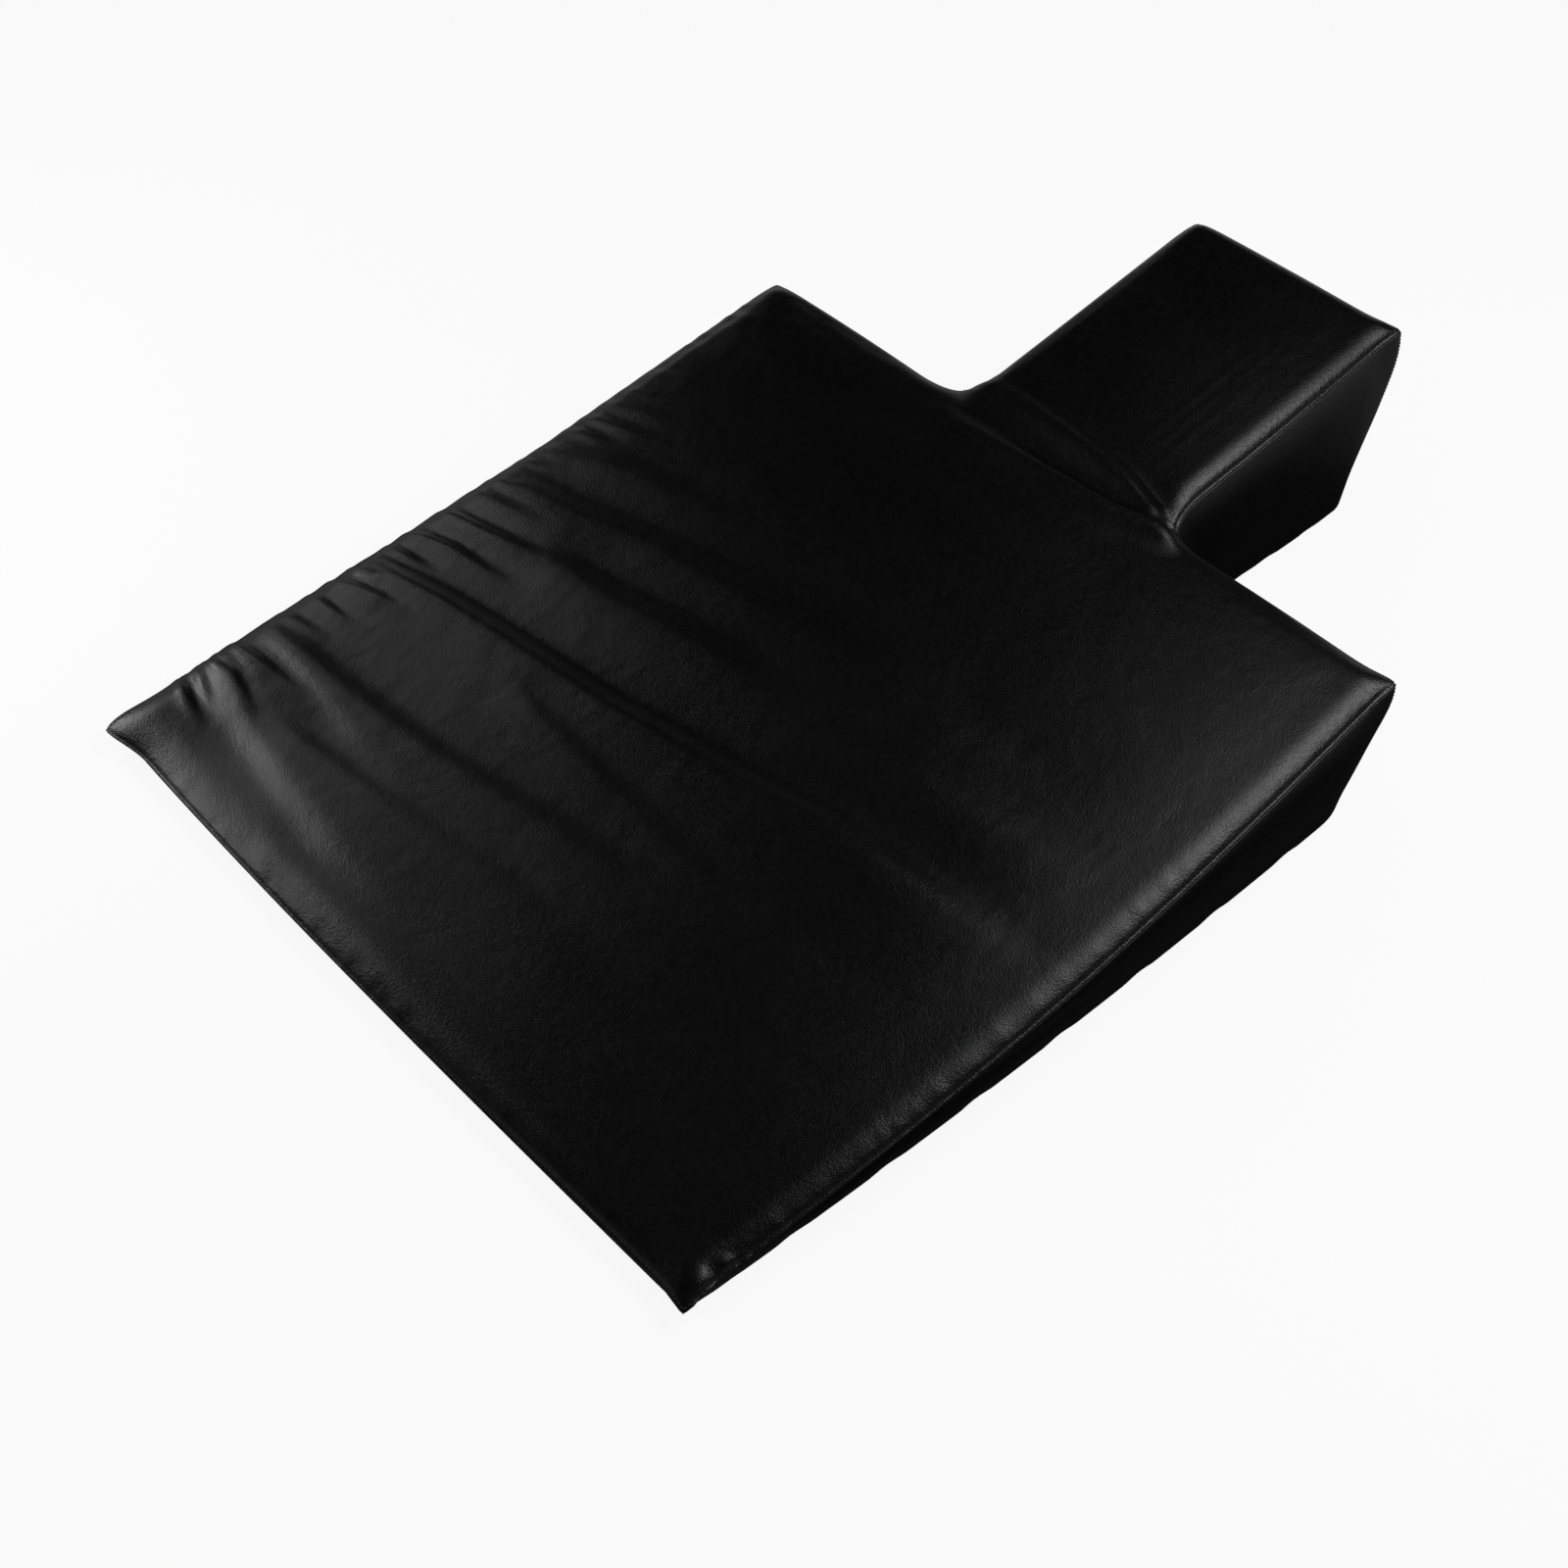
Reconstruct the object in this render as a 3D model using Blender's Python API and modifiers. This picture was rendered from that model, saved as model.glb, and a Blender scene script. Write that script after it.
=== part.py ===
# Foam exercise wedge with a headrest, in a sewn leatherette cover.
# x runs across the width, y from the low edge to the headrest's end, z up from the base.
# The pieces are laid out with y = 0 at the low edge's corners, under an empty that centres the whole.

import math

import bmesh
import bpy
import numpy
from mathutils import Vector

# Cover, from seam corner to seam corner
WEDGE_WIDTH = 0.600
WEDGE_LENGTH = 0.602
HEADREST_WIDTH = 0.193
HEADREST_LENGTH = 0.249
LOW_SEAM_HEIGHT = 0.011
BACK_SEAM_HEIGHT = 0.104
HEADREST_SEAM_HEIGHT = 0.151

# How the stuffed cover swells and draws in
SIDE_BOW = 0.008
FRONT_BOW = 0.007
FOOT_BOW_SHARE = 0.8
EAR_REACH = 0.004
EAR_RISE = 0.003
REAR_BOW = 0.002
HEADREST_BOW = 0.002
BASE_DRAW_IN = 0.003
SEAM_DIP = 0.003
SHOULDER_WIDTH = 0.018
SHOULDER_RISE = 0.008
WEDGE_CROWN = 0.007
HEADREST_CROWN = 0.005
ROOT_FOLD = 0.026
NOTCH_REACH = 0.030
NOTCH_WEB = 0.006
RIM_IN_SHARE = 0.35
RIM_RISE_SHARE = 0.75
EAR_CREASE_SHARE = 0.7
WALL_ROW_SHARE = 0.4

# Leatherette, thread and the gaps between sewn and touching pieces
COVER_THICKNESS = 0.0008
TOUCH_GAP = 0.0003
FOAM_GAP = 0.0005
SEAM_GAP = 0.0005
THREAD_RADIUS = 0.0004
THREAD_SINK = 0.00005
FOAM_GLUE_LINE = 0.0003

# Zip in the left side, measured along the wedge from the low edge
ZIP_HEIGHT = 0.015
ZIP_FRONT = 0.240
ZIP_REAR_MARGIN = 0.025
ZIP_SLOT_WIDTH = 0.009
TAPE_WIDTH = 0.008
TAPE_THICKNESS = 0.0006
TEETH_ROW_WIDTH = 0.0023
TEETH_DEPTH = 0.0020
TEETH_SLIT = 0.0010
TEETH_CHAMFER = 0.0003
STOP_LENGTH = 0.0030
STOP_EXTRA_DEPTH = 0.0004
STITCH_FROM_SLOT = 0.0015

# Zip slider and its pull tab
SLIDER_LENGTH = 0.011
SLIDER_WIDTH = 0.0075
SLIDER_PLATE = 0.0011
SLIDER_ROUNDING = 0.0003
NECK_LENGTH = 0.004
BAIL_LENGTH = 0.0052
BAIL_WIDTH = 0.0016
BAIL_BRIDGE = 0.0010
BAIL_POST = 0.0010
TAB_BAR = 0.0008
TAB_LENGTH = 0.024
TAB_WIDTH = 0.0065
TAB_ARM_WIDTH = 0.0013
TAB_WINDOW_LENGTH = 0.0045
TAB_HOLE_RADIUS = 0.0013
TAB_HOLE_FROM_END = 0.0035
RUN_CLEARANCE = 0.0003

# Rows of the cage, from the base up: two rows on the wall, the top seam, and the top itself
SEAM_ROW = 3
TOP_ROW = 4
MESH_TOLERANCE = 0.00001
FLAT_SHARE = 0.2
OVERRUN = 0.0004

PANELS = [
    "top_panel",
    "base_panel",
    "front_edge_panel",
    "right_side_panel",
    "left_side_panel",
    "right_rear_panel",
    "left_rear_panel",
    "headrest_right_panel",
    "headrest_left_panel",
    "headrest_end_panel",
]

HALF_WEDGE = WEDGE_WIDTH / 2
HALF_HEADREST = HEADREST_WIDTH / 2
FULL_LENGTH = WEDGE_LENGTH + HEADREST_LENGTH
GLUE_PLACE = WEDGE_LENGTH + max(REAR_BOW, EAR_REACH)
SEAM_INSET = COVER_THICKNESS + SEAM_GAP
FOAM_DEPTH = COVER_THICKNESS + FOAM_GAP


def clear_scene():
    for thing in list(bpy.data.objects):
        bpy.data.objects.remove(thing, do_unlink=True)


def new_collection(name):
    group = bpy.data.collections.new(name)
    bpy.context.scene.collection.children.link(group)
    return group


def new_material(name, colour, roughness, metallic=0.0):
    material = bpy.data.materials.new(name)
    material.use_nodes = True
    shader = material.node_tree.nodes["Principled BSDF"]
    shader.inputs["Base Color"].default_value = (*colour, 1.0)
    shader.inputs["Roughness"].default_value = roughness
    shader.inputs["Metallic"].default_value = metallic
    return material


def add_object(name, data, group, material=None, parent=None):
    thing = bpy.data.objects.new(name, data)
    group.objects.link(thing)
    if material:
        data.materials.append(material)
    thing.parent = parent
    return thing


def mesh_from(bm, name):
    mesh = bpy.data.meshes.new(name)
    bm.to_mesh(mesh)
    bm.free()
    return mesh


def make_guide(thing):
    thing.hide_render = True
    thing.display_type = "WIRE"


def add_block(name, low, high, group, material=None, parent=None, rounding=0.0):
    # A rectangular block between two corners, with its origin at its middle.
    size = Vector(high) - Vector(low)
    bm = bmesh.new()
    bmesh.ops.create_cube(bm, size=1)
    bmesh.ops.scale(bm, vec=size, verts=bm.verts)
    block = add_object(name, mesh_from(bm, name), group, material, parent)
    block.location = (Vector(low) + Vector(high)) / 2
    if rounding:
        bevel = block.modifiers.new("rounding", "BEVEL")
        bevel.width = rounding
        bevel.segments = 1
    return block


def add_boolean(target, other, operation):
    make_guide(other)
    cut = target.modifiers.new(operation.lower(), "BOOLEAN")
    cut.operation = operation
    cut.solver = "EXACT"
    cut.object = other


def cut_across(bm, axis, place):
    # Adds a loop of edges where a plane across the axis meets the mesh.
    normal = Vector((0, 0, 0))
    normal[axis] = 1
    everything = bm.verts[:] + bm.edges[:] + bm.faces[:]
    bmesh.ops.bisect_plane(bm, geom=everything, dist=MESH_TOLERANCE, plane_co=normal * place, plane_no=normal)


def seam_height(y):
    # Height of the top seam's straight line above the base.
    if y <= WEDGE_LENGTH:
        return LOW_SEAM_HEIGHT + (BACK_SEAM_HEIGHT - LOW_SEAM_HEIGHT) * y / WEDGE_LENGTH
    rise = HEADREST_SEAM_HEIGHT - BACK_SEAM_HEIGHT
    return BACK_SEAM_HEIGHT + rise * (y - WEDGE_LENGTH) / HEADREST_LENGTH


def arch(share):
    # 0 at both ends of a run and 1 at its middle.
    return math.sin(math.pi * min(max(share, 0), 1))


def near(value, place):
    return abs(value - place) < MESH_TOLERANCE


def walls_at(x, y):
    # Which walls of the T a plan point lies on, as outward signs across and along, with their swell.
    across = along = 0
    bow = dip = 0
    half = HALF_WEDGE if y < WEDGE_LENGTH + MESH_TOLERANCE else HALF_HEADREST
    on_tongue_side = near(abs(x), HALF_HEADREST) and y > WEDGE_LENGTH - MESH_TOLERANCE
    if near(abs(x), half) or on_tongue_side:
        across = math.copysign(1, x)
        if near(abs(x), HALF_WEDGE):
            dip = arch(y / WEDGE_LENGTH)
            bow = SIDE_BOW * dip
        else:
            dip = arch((y - WEDGE_LENGTH) / HEADREST_LENGTH)
            bow = HEADREST_BOW * dip
    if near(y, 0):
        along = -1
        bow = FRONT_BOW * arch(x / WEDGE_WIDTH + 1 / 2)
    elif near(y, FULL_LENGTH):
        along = 1
        bow = HEADREST_BOW * arch(x / HEADREST_WIDTH + 1 / 2)
    elif near(y, WEDGE_LENGTH) and abs(x) > HALF_HEADREST - MESH_TOLERANCE:
        along = 1
        bow = REAR_BOW * arch((abs(x) - HALF_HEADREST) / (HALF_WEDGE - HALF_HEADREST))
        if on_tongue_side:
            bow = NOTCH_WEB
    return across, along, bow, dip


def at_outer_corner(x, y):
    on_wedge = near(abs(x), HALF_WEDGE) and (near(y, 0) or near(y, WEDGE_LENGTH))
    return on_wedge or (near(abs(x), HALF_HEADREST) and near(y, FULL_LENGTH))


def crown(x, y):
    # The stuffing's rise over the middle of the wedge or of the headrest.
    if y <= WEDGE_LENGTH:
        return WEDGE_CROWN * arch(x / WEDGE_WIDTH + 1 / 2) * arch(y / WEDGE_LENGTH)
    return HEADREST_CROWN * arch(x / HEADREST_WIDTH + 1 / 2) * arch((y - WEDGE_LENGTH) / HEADREST_LENGTH)


def shaped(x, y, row):
    # Moves a point of the straight T block, whose heights are row numbers, to its place on the stuffed cover.
    across, along, bow, dip = walls_at(x, y)
    seam = seam_height(y)
    ear = at_outer_corner(x, y)
    if row < SEAM_ROW:
        height = min(ZIP_HEIGHT, seam * WALL_ROW_SHARE) * row
        outward = -BASE_DRAW_IN
        # The zip's tapes keep the left side's foot straight, and the other long edges bow at the foot too.
        if near(x, HALF_WEDGE) or near(y, 0):
            outward += bow * FOOT_BOW_SHARE
    elif row == SEAM_ROW:
        height = seam - min(SEAM_DIP, seam / SEAM_ROW) * dip + EAR_RISE * ear
        outward = bow + EAR_REACH * ear
    elif across or along:
        height = seam + SHOULDER_RISE * RIM_RISE_SHARE + EAR_RISE * ear
        outward = bow - SHOULDER_WIDTH * RIM_IN_SHARE + EAR_REACH * ear
    else:
        height = seam + SHOULDER_RISE + crown(x, y)
        outward = 0
    return Vector((x + across * outward, y + along * outward, height))


def panel_of(face):
    # The index in PANELS of a face of the straight T block.
    middle = face.calc_center_median()
    side = "right" if middle.x > 0 else "left"
    if middle.z > SEAM_ROW:
        name = "top_panel"
    elif near(middle.z, 0):
        name = "base_panel"
    elif near(middle.y, 0):
        name = "front_edge_panel"
    elif near(middle.y, FULL_LENGTH):
        name = "headrest_end_panel"
    elif near(middle.y, WEDGE_LENGTH):
        name = side + "_rear_panel"
    elif middle.y < WEDGE_LENGTH:
        name = side + "_side_panel"
    else:
        name = "headrest_" + side + "_panel"
    return PANELS.index(name)


def build_cage():
    # A straight T block, cut into the loops that its shape needs, then moved to the stuffed shape.
    bm = bmesh.new()
    bmesh.ops.create_cube(bm, size=1)
    bmesh.ops.scale(bm, vec=(WEDGE_WIDTH, WEDGE_LENGTH, TOP_ROW), verts=bm.verts)
    bmesh.ops.translate(bm, vec=(0, WEDGE_LENGTH / 2, TOP_ROW / 2), verts=bm.verts)
    half_places = [
        HALF_HEADREST - SHOULDER_WIDTH,
        HALF_HEADREST,
        HALF_HEADREST + NOTCH_REACH,
        (HALF_HEADREST + NOTCH_REACH + HALF_WEDGE - SHOULDER_WIDTH) / 2,
        HALF_WEDGE - SHOULDER_WIDTH,
    ]
    for place in half_places:
        cut_across(bm, 0, place)
        cut_across(bm, 0, -place)
    cut_across(bm, 0, 0)

    bm.normal_update()
    rear_faces = [
        face for face in bm.faces if face.normal.y > 0 and abs(face.calc_center_median().x) < HALF_HEADREST
        and near(face.calc_center_median().y, WEDGE_LENGTH)
    ]
    grown = bmesh.ops.extrude_face_region(bm, geom=rear_faces)["geom"]
    grown_verts = [item for item in grown if isinstance(item, bmesh.types.BMVert)]
    bmesh.ops.translate(bm, vec=(0, HEADREST_LENGTH, 0), verts=grown_verts)
    bmesh.ops.delete(bm, geom=rear_faces, context="FACES")

    along_places = [
        SHOULDER_WIDTH,
        (SHOULDER_WIDTH + ZIP_FRONT) / 2,
        ZIP_FRONT,
        (ZIP_FRONT + WEDGE_LENGTH - SHOULDER_WIDTH) / 2,
        WEDGE_LENGTH - SHOULDER_WIDTH,
        WEDGE_LENGTH + ROOT_FOLD,
        WEDGE_LENGTH + (ROOT_FOLD + HEADREST_LENGTH) / 2,
        FULL_LENGTH - SHOULDER_WIDTH,
    ]
    for place in along_places:
        cut_across(bm, 1, place)
    for row in range(1, TOP_ROW):
        cut_across(bm, 2, row)

    for face in bm.faces:
        face.material_index = panel_of(face)
    crease = bm.edges.layers.float.new("crease_edge")
    top = PANELS.index("top_panel")
    for edge in bm.edges:
        panels = {face.material_index for face in edge.link_faces}
        if len(panels) > 1 and top not in panels:
            edge[crease] = 1
        elif panels == {top} and all(at_outer_corner(vert.co.x, vert.co.y) for vert in edge.verts):
            edge[crease] = EAR_CREASE_SHARE
    for vert in bm.verts:
        vert.co = shaped(vert.co.x, vert.co.y, round(vert.co.z))
    bmesh.ops.recalc_face_normals(bm, faces=bm.faces)
    return mesh_from(bm, "cover_cage")


def evaluated_mesh(thing):
    graph = bpy.context.evaluated_depsgraph_get()
    return bpy.data.meshes.new_from_object(thing.evaluated_get(graph))


def build_cover(guides):
    # The whole outside of the stuffed cover, whose faces carry their panel's index.
    cage = add_object("cover_cage", build_cage(), guides)
    for name in PANELS:
        cage.data.materials.append(None)
    make_guide(cage)
    smooth = cage.modifiers.new("smooth", "SUBSURF")
    smooth.levels = 1
    smooth.render_levels = 1
    # Twisted four-sided faces would fold one way on a panel and the other way on the foam under it.
    split = cage.modifiers.new("triangles", "TRIANGULATE")
    split.quad_method = "FIXED"
    return evaluated_mesh(cage)


def add_panel(cover, name, group, material, parent):
    # One sewn panel: its share of the cover, held back from its seams, with the leatherette's thickness.
    index = PANELS.index(name)
    bm = bmesh.new()
    bm.from_mesh(cover)
    others = [face for face in bm.faces if face.material_index != index]
    bmesh.ops.delete(bm, geom=others, context="FACES")
    if name == "base_panel":
        bmesh.ops.dissolve_faces(bm, faces=bm.faces[:])
    strip = bmesh.ops.inset_region(
        bm, faces=bm.faces[:], thickness=SEAM_INSET, use_boundary=True, use_even_offset=True
    )["faces"]
    bmesh.ops.delete(bm, geom=strip, context="FACES")
    for face in bm.faces:
        face.material_index = 0
    panel = add_object(name, mesh_from(bm, name), group, material, parent)
    panel.data.shade_smooth()
    wall = panel.modifiers.new("thickness", "SOLIDIFY")
    wall.thickness = COVER_THICKNESS
    wall.offset = -1
    wall.use_even_offset = True
    return panel


def sunk_places(bm, depth):
    # Each vertex moved in until it lies a depth below every face around it, as a mitre does.
    bm.normal_update()
    places = {}
    for vert in bm.verts:
        normals = numpy.array([face.normal for face in vert.link_faces])
        drops = numpy.full(len(normals), -depth)
        move = numpy.linalg.lstsq(normals, drops, rcond=FLAT_SHARE)[0]
        places[vert] = vert.co + Vector(move.tolist())
    return places


def add_foam(cover, name, keep_rear, group, material, parent):
    # A foam block: the inside of the cover, cut where the wedge and the headrest are glued together.
    bm = bmesh.new()
    bm.from_mesh(cover)
    base = PANELS.index("base_panel")
    bmesh.ops.dissolve_faces(bm, faces=[face for face in bm.faces if face.material_index == base])
    for vert, place in sunk_places(bm, FOAM_DEPTH).items():
        vert.co = place
    side = 1 if keep_rear else -1
    everything = bm.verts[:] + bm.edges[:] + bm.faces[:]
    bmesh.ops.bisect_plane(
        bm,
        geom=everything,
        dist=MESH_TOLERANCE,
        plane_co=(0, GLUE_PLACE + side * FOAM_GLUE_LINE / 2, 0),
        plane_no=(0, side, 0),
        clear_inner=True,
    )
    rim = [edge for edge in bm.edges if edge.is_boundary]
    bmesh.ops.holes_fill(bm, edges=rim, sides=0)
    bmesh.ops.recalc_face_normals(bm, faces=bm.faces)
    for face in bm.faces:
        face.material_index = 0
    return add_object(name, mesh_from(bm, name), group, material, parent)


def seam_path(cover, first_names, second_names):
    # The points of the seam between two sets of panels, in order, and whether it closes on itself.
    first = {PANELS.index(name) for name in first_names}
    second = {PANELS.index(name) for name in second_names}
    bm = bmesh.new()
    bm.from_mesh(cover)
    places = sunk_places(bm, THREAD_RADIUS + THREAD_SINK)
    seam = []
    for edge in bm.edges:
        panels = [face.material_index for face in edge.link_faces]
        if (panels[0] in first and panels[1] in second) or (panels[1] in first and panels[0] in second):
            seam.append(edge)
    neighbours = {}
    for edge in seam:
        for vert in edge.verts:
            neighbours.setdefault(vert, []).append(edge.other_vert(vert))
    ends = [vert for vert, others in neighbours.items() if len(others) == 1]
    closed = not ends
    start = seam[0].verts[0] if closed else min(ends, key=lambda vert: vert.co.z)
    path = [start]
    while True:
        ahead = [vert for vert in neighbours[path[-1]] if vert not in path[-2:] and vert is not start]
        if not ahead:
            break
        path.append(ahead[0])
    points = [places[vert].copy() for vert in path]
    bm.free()
    return points, closed


def trimmed(points, amount):
    # The path without a short length at each end.
    for end in (0, -1):
        beside = 1 if end == 0 else -2
        run = points[beside] - points[end]
        while run.length <= amount and len(points) > 2:
            points.pop(end)
            amount -= run.length
            run = points[beside] - points[end]
        points[end] = points[end] + run.normalized() * amount
    return points


def add_thread(name, points, closed, group, material, parent):
    data = bpy.data.curves.new(name, "CURVE")
    data.dimensions = "3D"
    data.bevel_depth = THREAD_RADIUS
    data.bevel_resolution = 1
    data.use_fill_caps = not closed
    spline = data.splines.new("POLY")
    spline.points.add(len(points) - 1)
    for spot, place in zip(spline.points, points):
        spot.co = (*place, 1)
    spline.use_cyclic_u = closed
    return add_object(name, data, group, material, parent)


def add_threads(cover, group, material, parent):
    walls = PANELS[2:]
    for name, panel in (("top_seam_thread", "top_panel"), ("base_seam_thread", "base_panel")):
        points, closed = seam_path(cover, [panel], walls)
        add_thread(name, points, closed, group, material, parent)
    corners = [
        ("front_right_seam_thread", "front_edge_panel", "right_side_panel"),
        ("front_left_seam_thread", "front_edge_panel", "left_side_panel"),
        ("rear_right_seam_thread", "right_side_panel", "right_rear_panel"),
        ("rear_left_seam_thread", "left_side_panel", "left_rear_panel"),
        ("notch_right_seam_thread", "right_rear_panel", "headrest_right_panel"),
        ("notch_left_seam_thread", "left_rear_panel", "headrest_left_panel"),
        ("headrest_right_seam_thread", "headrest_right_panel", "headrest_end_panel"),
        ("headrest_left_seam_thread", "headrest_left_panel", "headrest_end_panel"),
    ]
    for name, one, other in corners:
        points, closed = seam_path(cover, [one], [other])
        trim = 2 * THREAD_RADIUS + TOUCH_GAP
        add_thread(name, trimmed(points, trim), closed, group, material, parent)


def zip_layout():
    # Where the chain's layers lie: depths go into the wedge from the side panel's inner face.
    inner_face = -(HALF_WEDGE - BASE_DRAW_IN) + COVER_THICKNESS
    tape_out = TOUCH_GAP
    tape_in = tape_out + TAPE_THICKNESS
    middle = (tape_out + tape_in) / 2
    layout = {
        "face": inner_face,
        "tape": (inner_face + tape_out, inner_face + tape_in),
        "teeth": (inner_face + middle - TEETH_DEPTH / 2, inner_face + middle + TEETH_DEPTH / 2),
        "front": ZIP_FRONT,
        "rear": WEDGE_LENGTH - ZIP_REAR_MARGIN,
        "row": (TEETH_SLIT / 2, TEETH_SLIT / 2 + TEETH_ROW_WIDTH),
    }
    layout["tape_edge"] = layout["row"][1] + TOUCH_GAP
    layout["tape_end"] = layout["tape_edge"] + TAPE_WIDTH
    teeth_out, teeth_in = layout["teeth"]
    layout["outer_plate"] = (teeth_out - RUN_CLEARANCE - SLIDER_PLATE, teeth_out - RUN_CLEARANCE)
    layout["inner_plate"] = (teeth_in + RUN_CLEARANCE, teeth_in + RUN_CLEARANCE + SLIDER_PLATE)
    return layout


def add_zip_chain(layout, group, guides, materials, parent):
    front, rear = layout["front"], layout["rear"]
    for sign, level in ((1, "upper"), (-1, "lower")):
        def heights(low, high):
            pair = (ZIP_HEIGHT + sign * low, ZIP_HEIGHT + sign * high)
            return min(pair), max(pair)

        low, high = heights(layout["tape_edge"], layout["tape_end"])
        out, inner = layout["tape"]
        add_block("zip_tape_" + level, (out, front, low), (inner, rear, high), group, materials["tape"], parent)
        low, high = heights(*layout["row"])
        out, inner = layout["teeth"]
        teeth_front = front + STOP_LENGTH + TOUCH_GAP
        teeth_rear = rear - STOP_LENGTH - TOUCH_GAP
        add_block(
            "zip_teeth_" + level, (out, teeth_front, low), (inner, teeth_rear, high),
            group, materials["teeth"], parent, TEETH_CHAMFER,
        )
        add_block(
            "zip_top_stop_" + level,
            (out - STOP_EXTRA_DEPTH, rear - STOP_LENGTH, low),
            (inner + STOP_EXTRA_DEPTH, rear, high),
            group, materials["slider"], parent, TEETH_CHAMFER,
        )
        stitch_height = ZIP_HEIGHT + sign * (ZIP_SLOT_WIDTH / 2 + STITCH_FROM_SLOT)
        stitch_place = layout["face"] - COVER_THICKNESS - TOUCH_GAP - THREAD_RADIUS
        ends = [Vector((stitch_place, place, stitch_height)) for place in (front, rear)]
        add_thread("zip_stitch_" + level, ends, False, group, materials["thread"], parent)
    out, inner = layout["teeth"]
    reach = layout["row"][1]
    add_block(
        "zip_bottom_stop",
        (out - STOP_EXTRA_DEPTH, front, ZIP_HEIGHT - reach),
        (inner + STOP_EXTRA_DEPTH, front + STOP_LENGTH, ZIP_HEIGHT + reach),
        group, materials["slider"], parent, TEETH_CHAMFER,
    )


def cut_zip_space(layout, panel, foam, guides, parent):
    # A slot in the side panel shows the chain, and a channel in the foam clears the tapes and the slider.
    half_slot = ZIP_SLOT_WIDTH / 2
    front = layout["front"] - TOUCH_GAP
    rear = layout["rear"] + TOUCH_GAP
    slot = add_block(
        "zip_slot_cutter",
        (layout["face"] - COVER_THICKNESS - OVERRUN, front, ZIP_HEIGHT - half_slot),
        (layout["face"] + OVERRUN, rear, ZIP_HEIGHT + half_slot),
        guides, None, parent,
    )
    add_boolean(panel, slot, "DIFFERENCE")
    reach = layout["tape_end"] + TOUCH_GAP
    channel = add_block(
        "zip_channel_cutter",
        (layout["face"] - OVERRUN, front - TOUCH_GAP, ZIP_HEIGHT - reach),
        (layout["inner_plate"][1] + TOUCH_GAP, rear + TOUCH_GAP, ZIP_HEIGHT + reach),
        guides, None, parent,
    )
    add_boolean(foam, channel, "DIFFERENCE")


def add_slider(layout, group, guides, materials, parent):
    # Two plates joined by a thin neck that runs in the chain's slit, with an arch outside for the tab.
    outer_out, outer_in = layout["outer_plate"]
    inner_out, inner_in = layout["inner_plate"]
    rear = layout["rear"] - STOP_LENGTH - RUN_CLEARANCE
    front = rear - SLIDER_LENGTH
    middle = (front + rear) / 2
    half_width = SLIDER_WIDTH / 2
    slider = add_block(
        "zip_slider", (outer_out, front, ZIP_HEIGHT - half_width), (outer_in, rear, ZIP_HEIGHT + half_width),
        group, materials["slider"], parent, SLIDER_ROUNDING,
    )
    neck_half = TEETH_SLIT / 2 - RUN_CLEARANCE
    shapes = [
        add_block(
            "slider_inner_plate",
            (inner_out, front, ZIP_HEIGHT - half_width), (inner_in, rear, ZIP_HEIGHT + half_width),
            guides, None, parent, SLIDER_ROUNDING,
        ),
        add_block(
            "slider_neck",
            (outer_in - SLIDER_PLATE / 2, middle - NECK_LENGTH / 2, ZIP_HEIGHT - neck_half),
            (inner_out + SLIDER_PLATE / 2, middle + NECK_LENGTH / 2, ZIP_HEIGHT + neck_half),
            guides, None, parent,
        ),
    ]
    opening = TAB_BAR * math.sqrt(2) + 2 * RUN_CLEARANCE
    bail_top = outer_out - opening - BAIL_BRIDGE
    bail = add_block(
        "slider_bail",
        (bail_top, middle - BAIL_LENGTH / 2, ZIP_HEIGHT - BAIL_WIDTH / 2),
        (outer_out + SLIDER_PLATE / 2, middle + BAIL_LENGTH / 2, ZIP_HEIGHT + BAIL_WIDTH / 2),
        guides, None, parent,
    )
    gap = add_block(
        "slider_bail_gap_cutter",
        (outer_out - opening, middle - BAIL_LENGTH / 2 + BAIL_POST, ZIP_HEIGHT - BAIL_WIDTH),
        (outer_out, middle + BAIL_LENGTH / 2 - BAIL_POST, ZIP_HEIGHT + BAIL_WIDTH),
        guides, None, parent,
    )
    shapes.append(bail)
    for shape in shapes:
        add_boolean(slider, shape, "UNION")
    add_boolean(slider, gap, "DIFFERENCE")
    hinge = Vector((outer_out - opening / 2, middle, ZIP_HEIGHT))
    return slider, hinge


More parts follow.
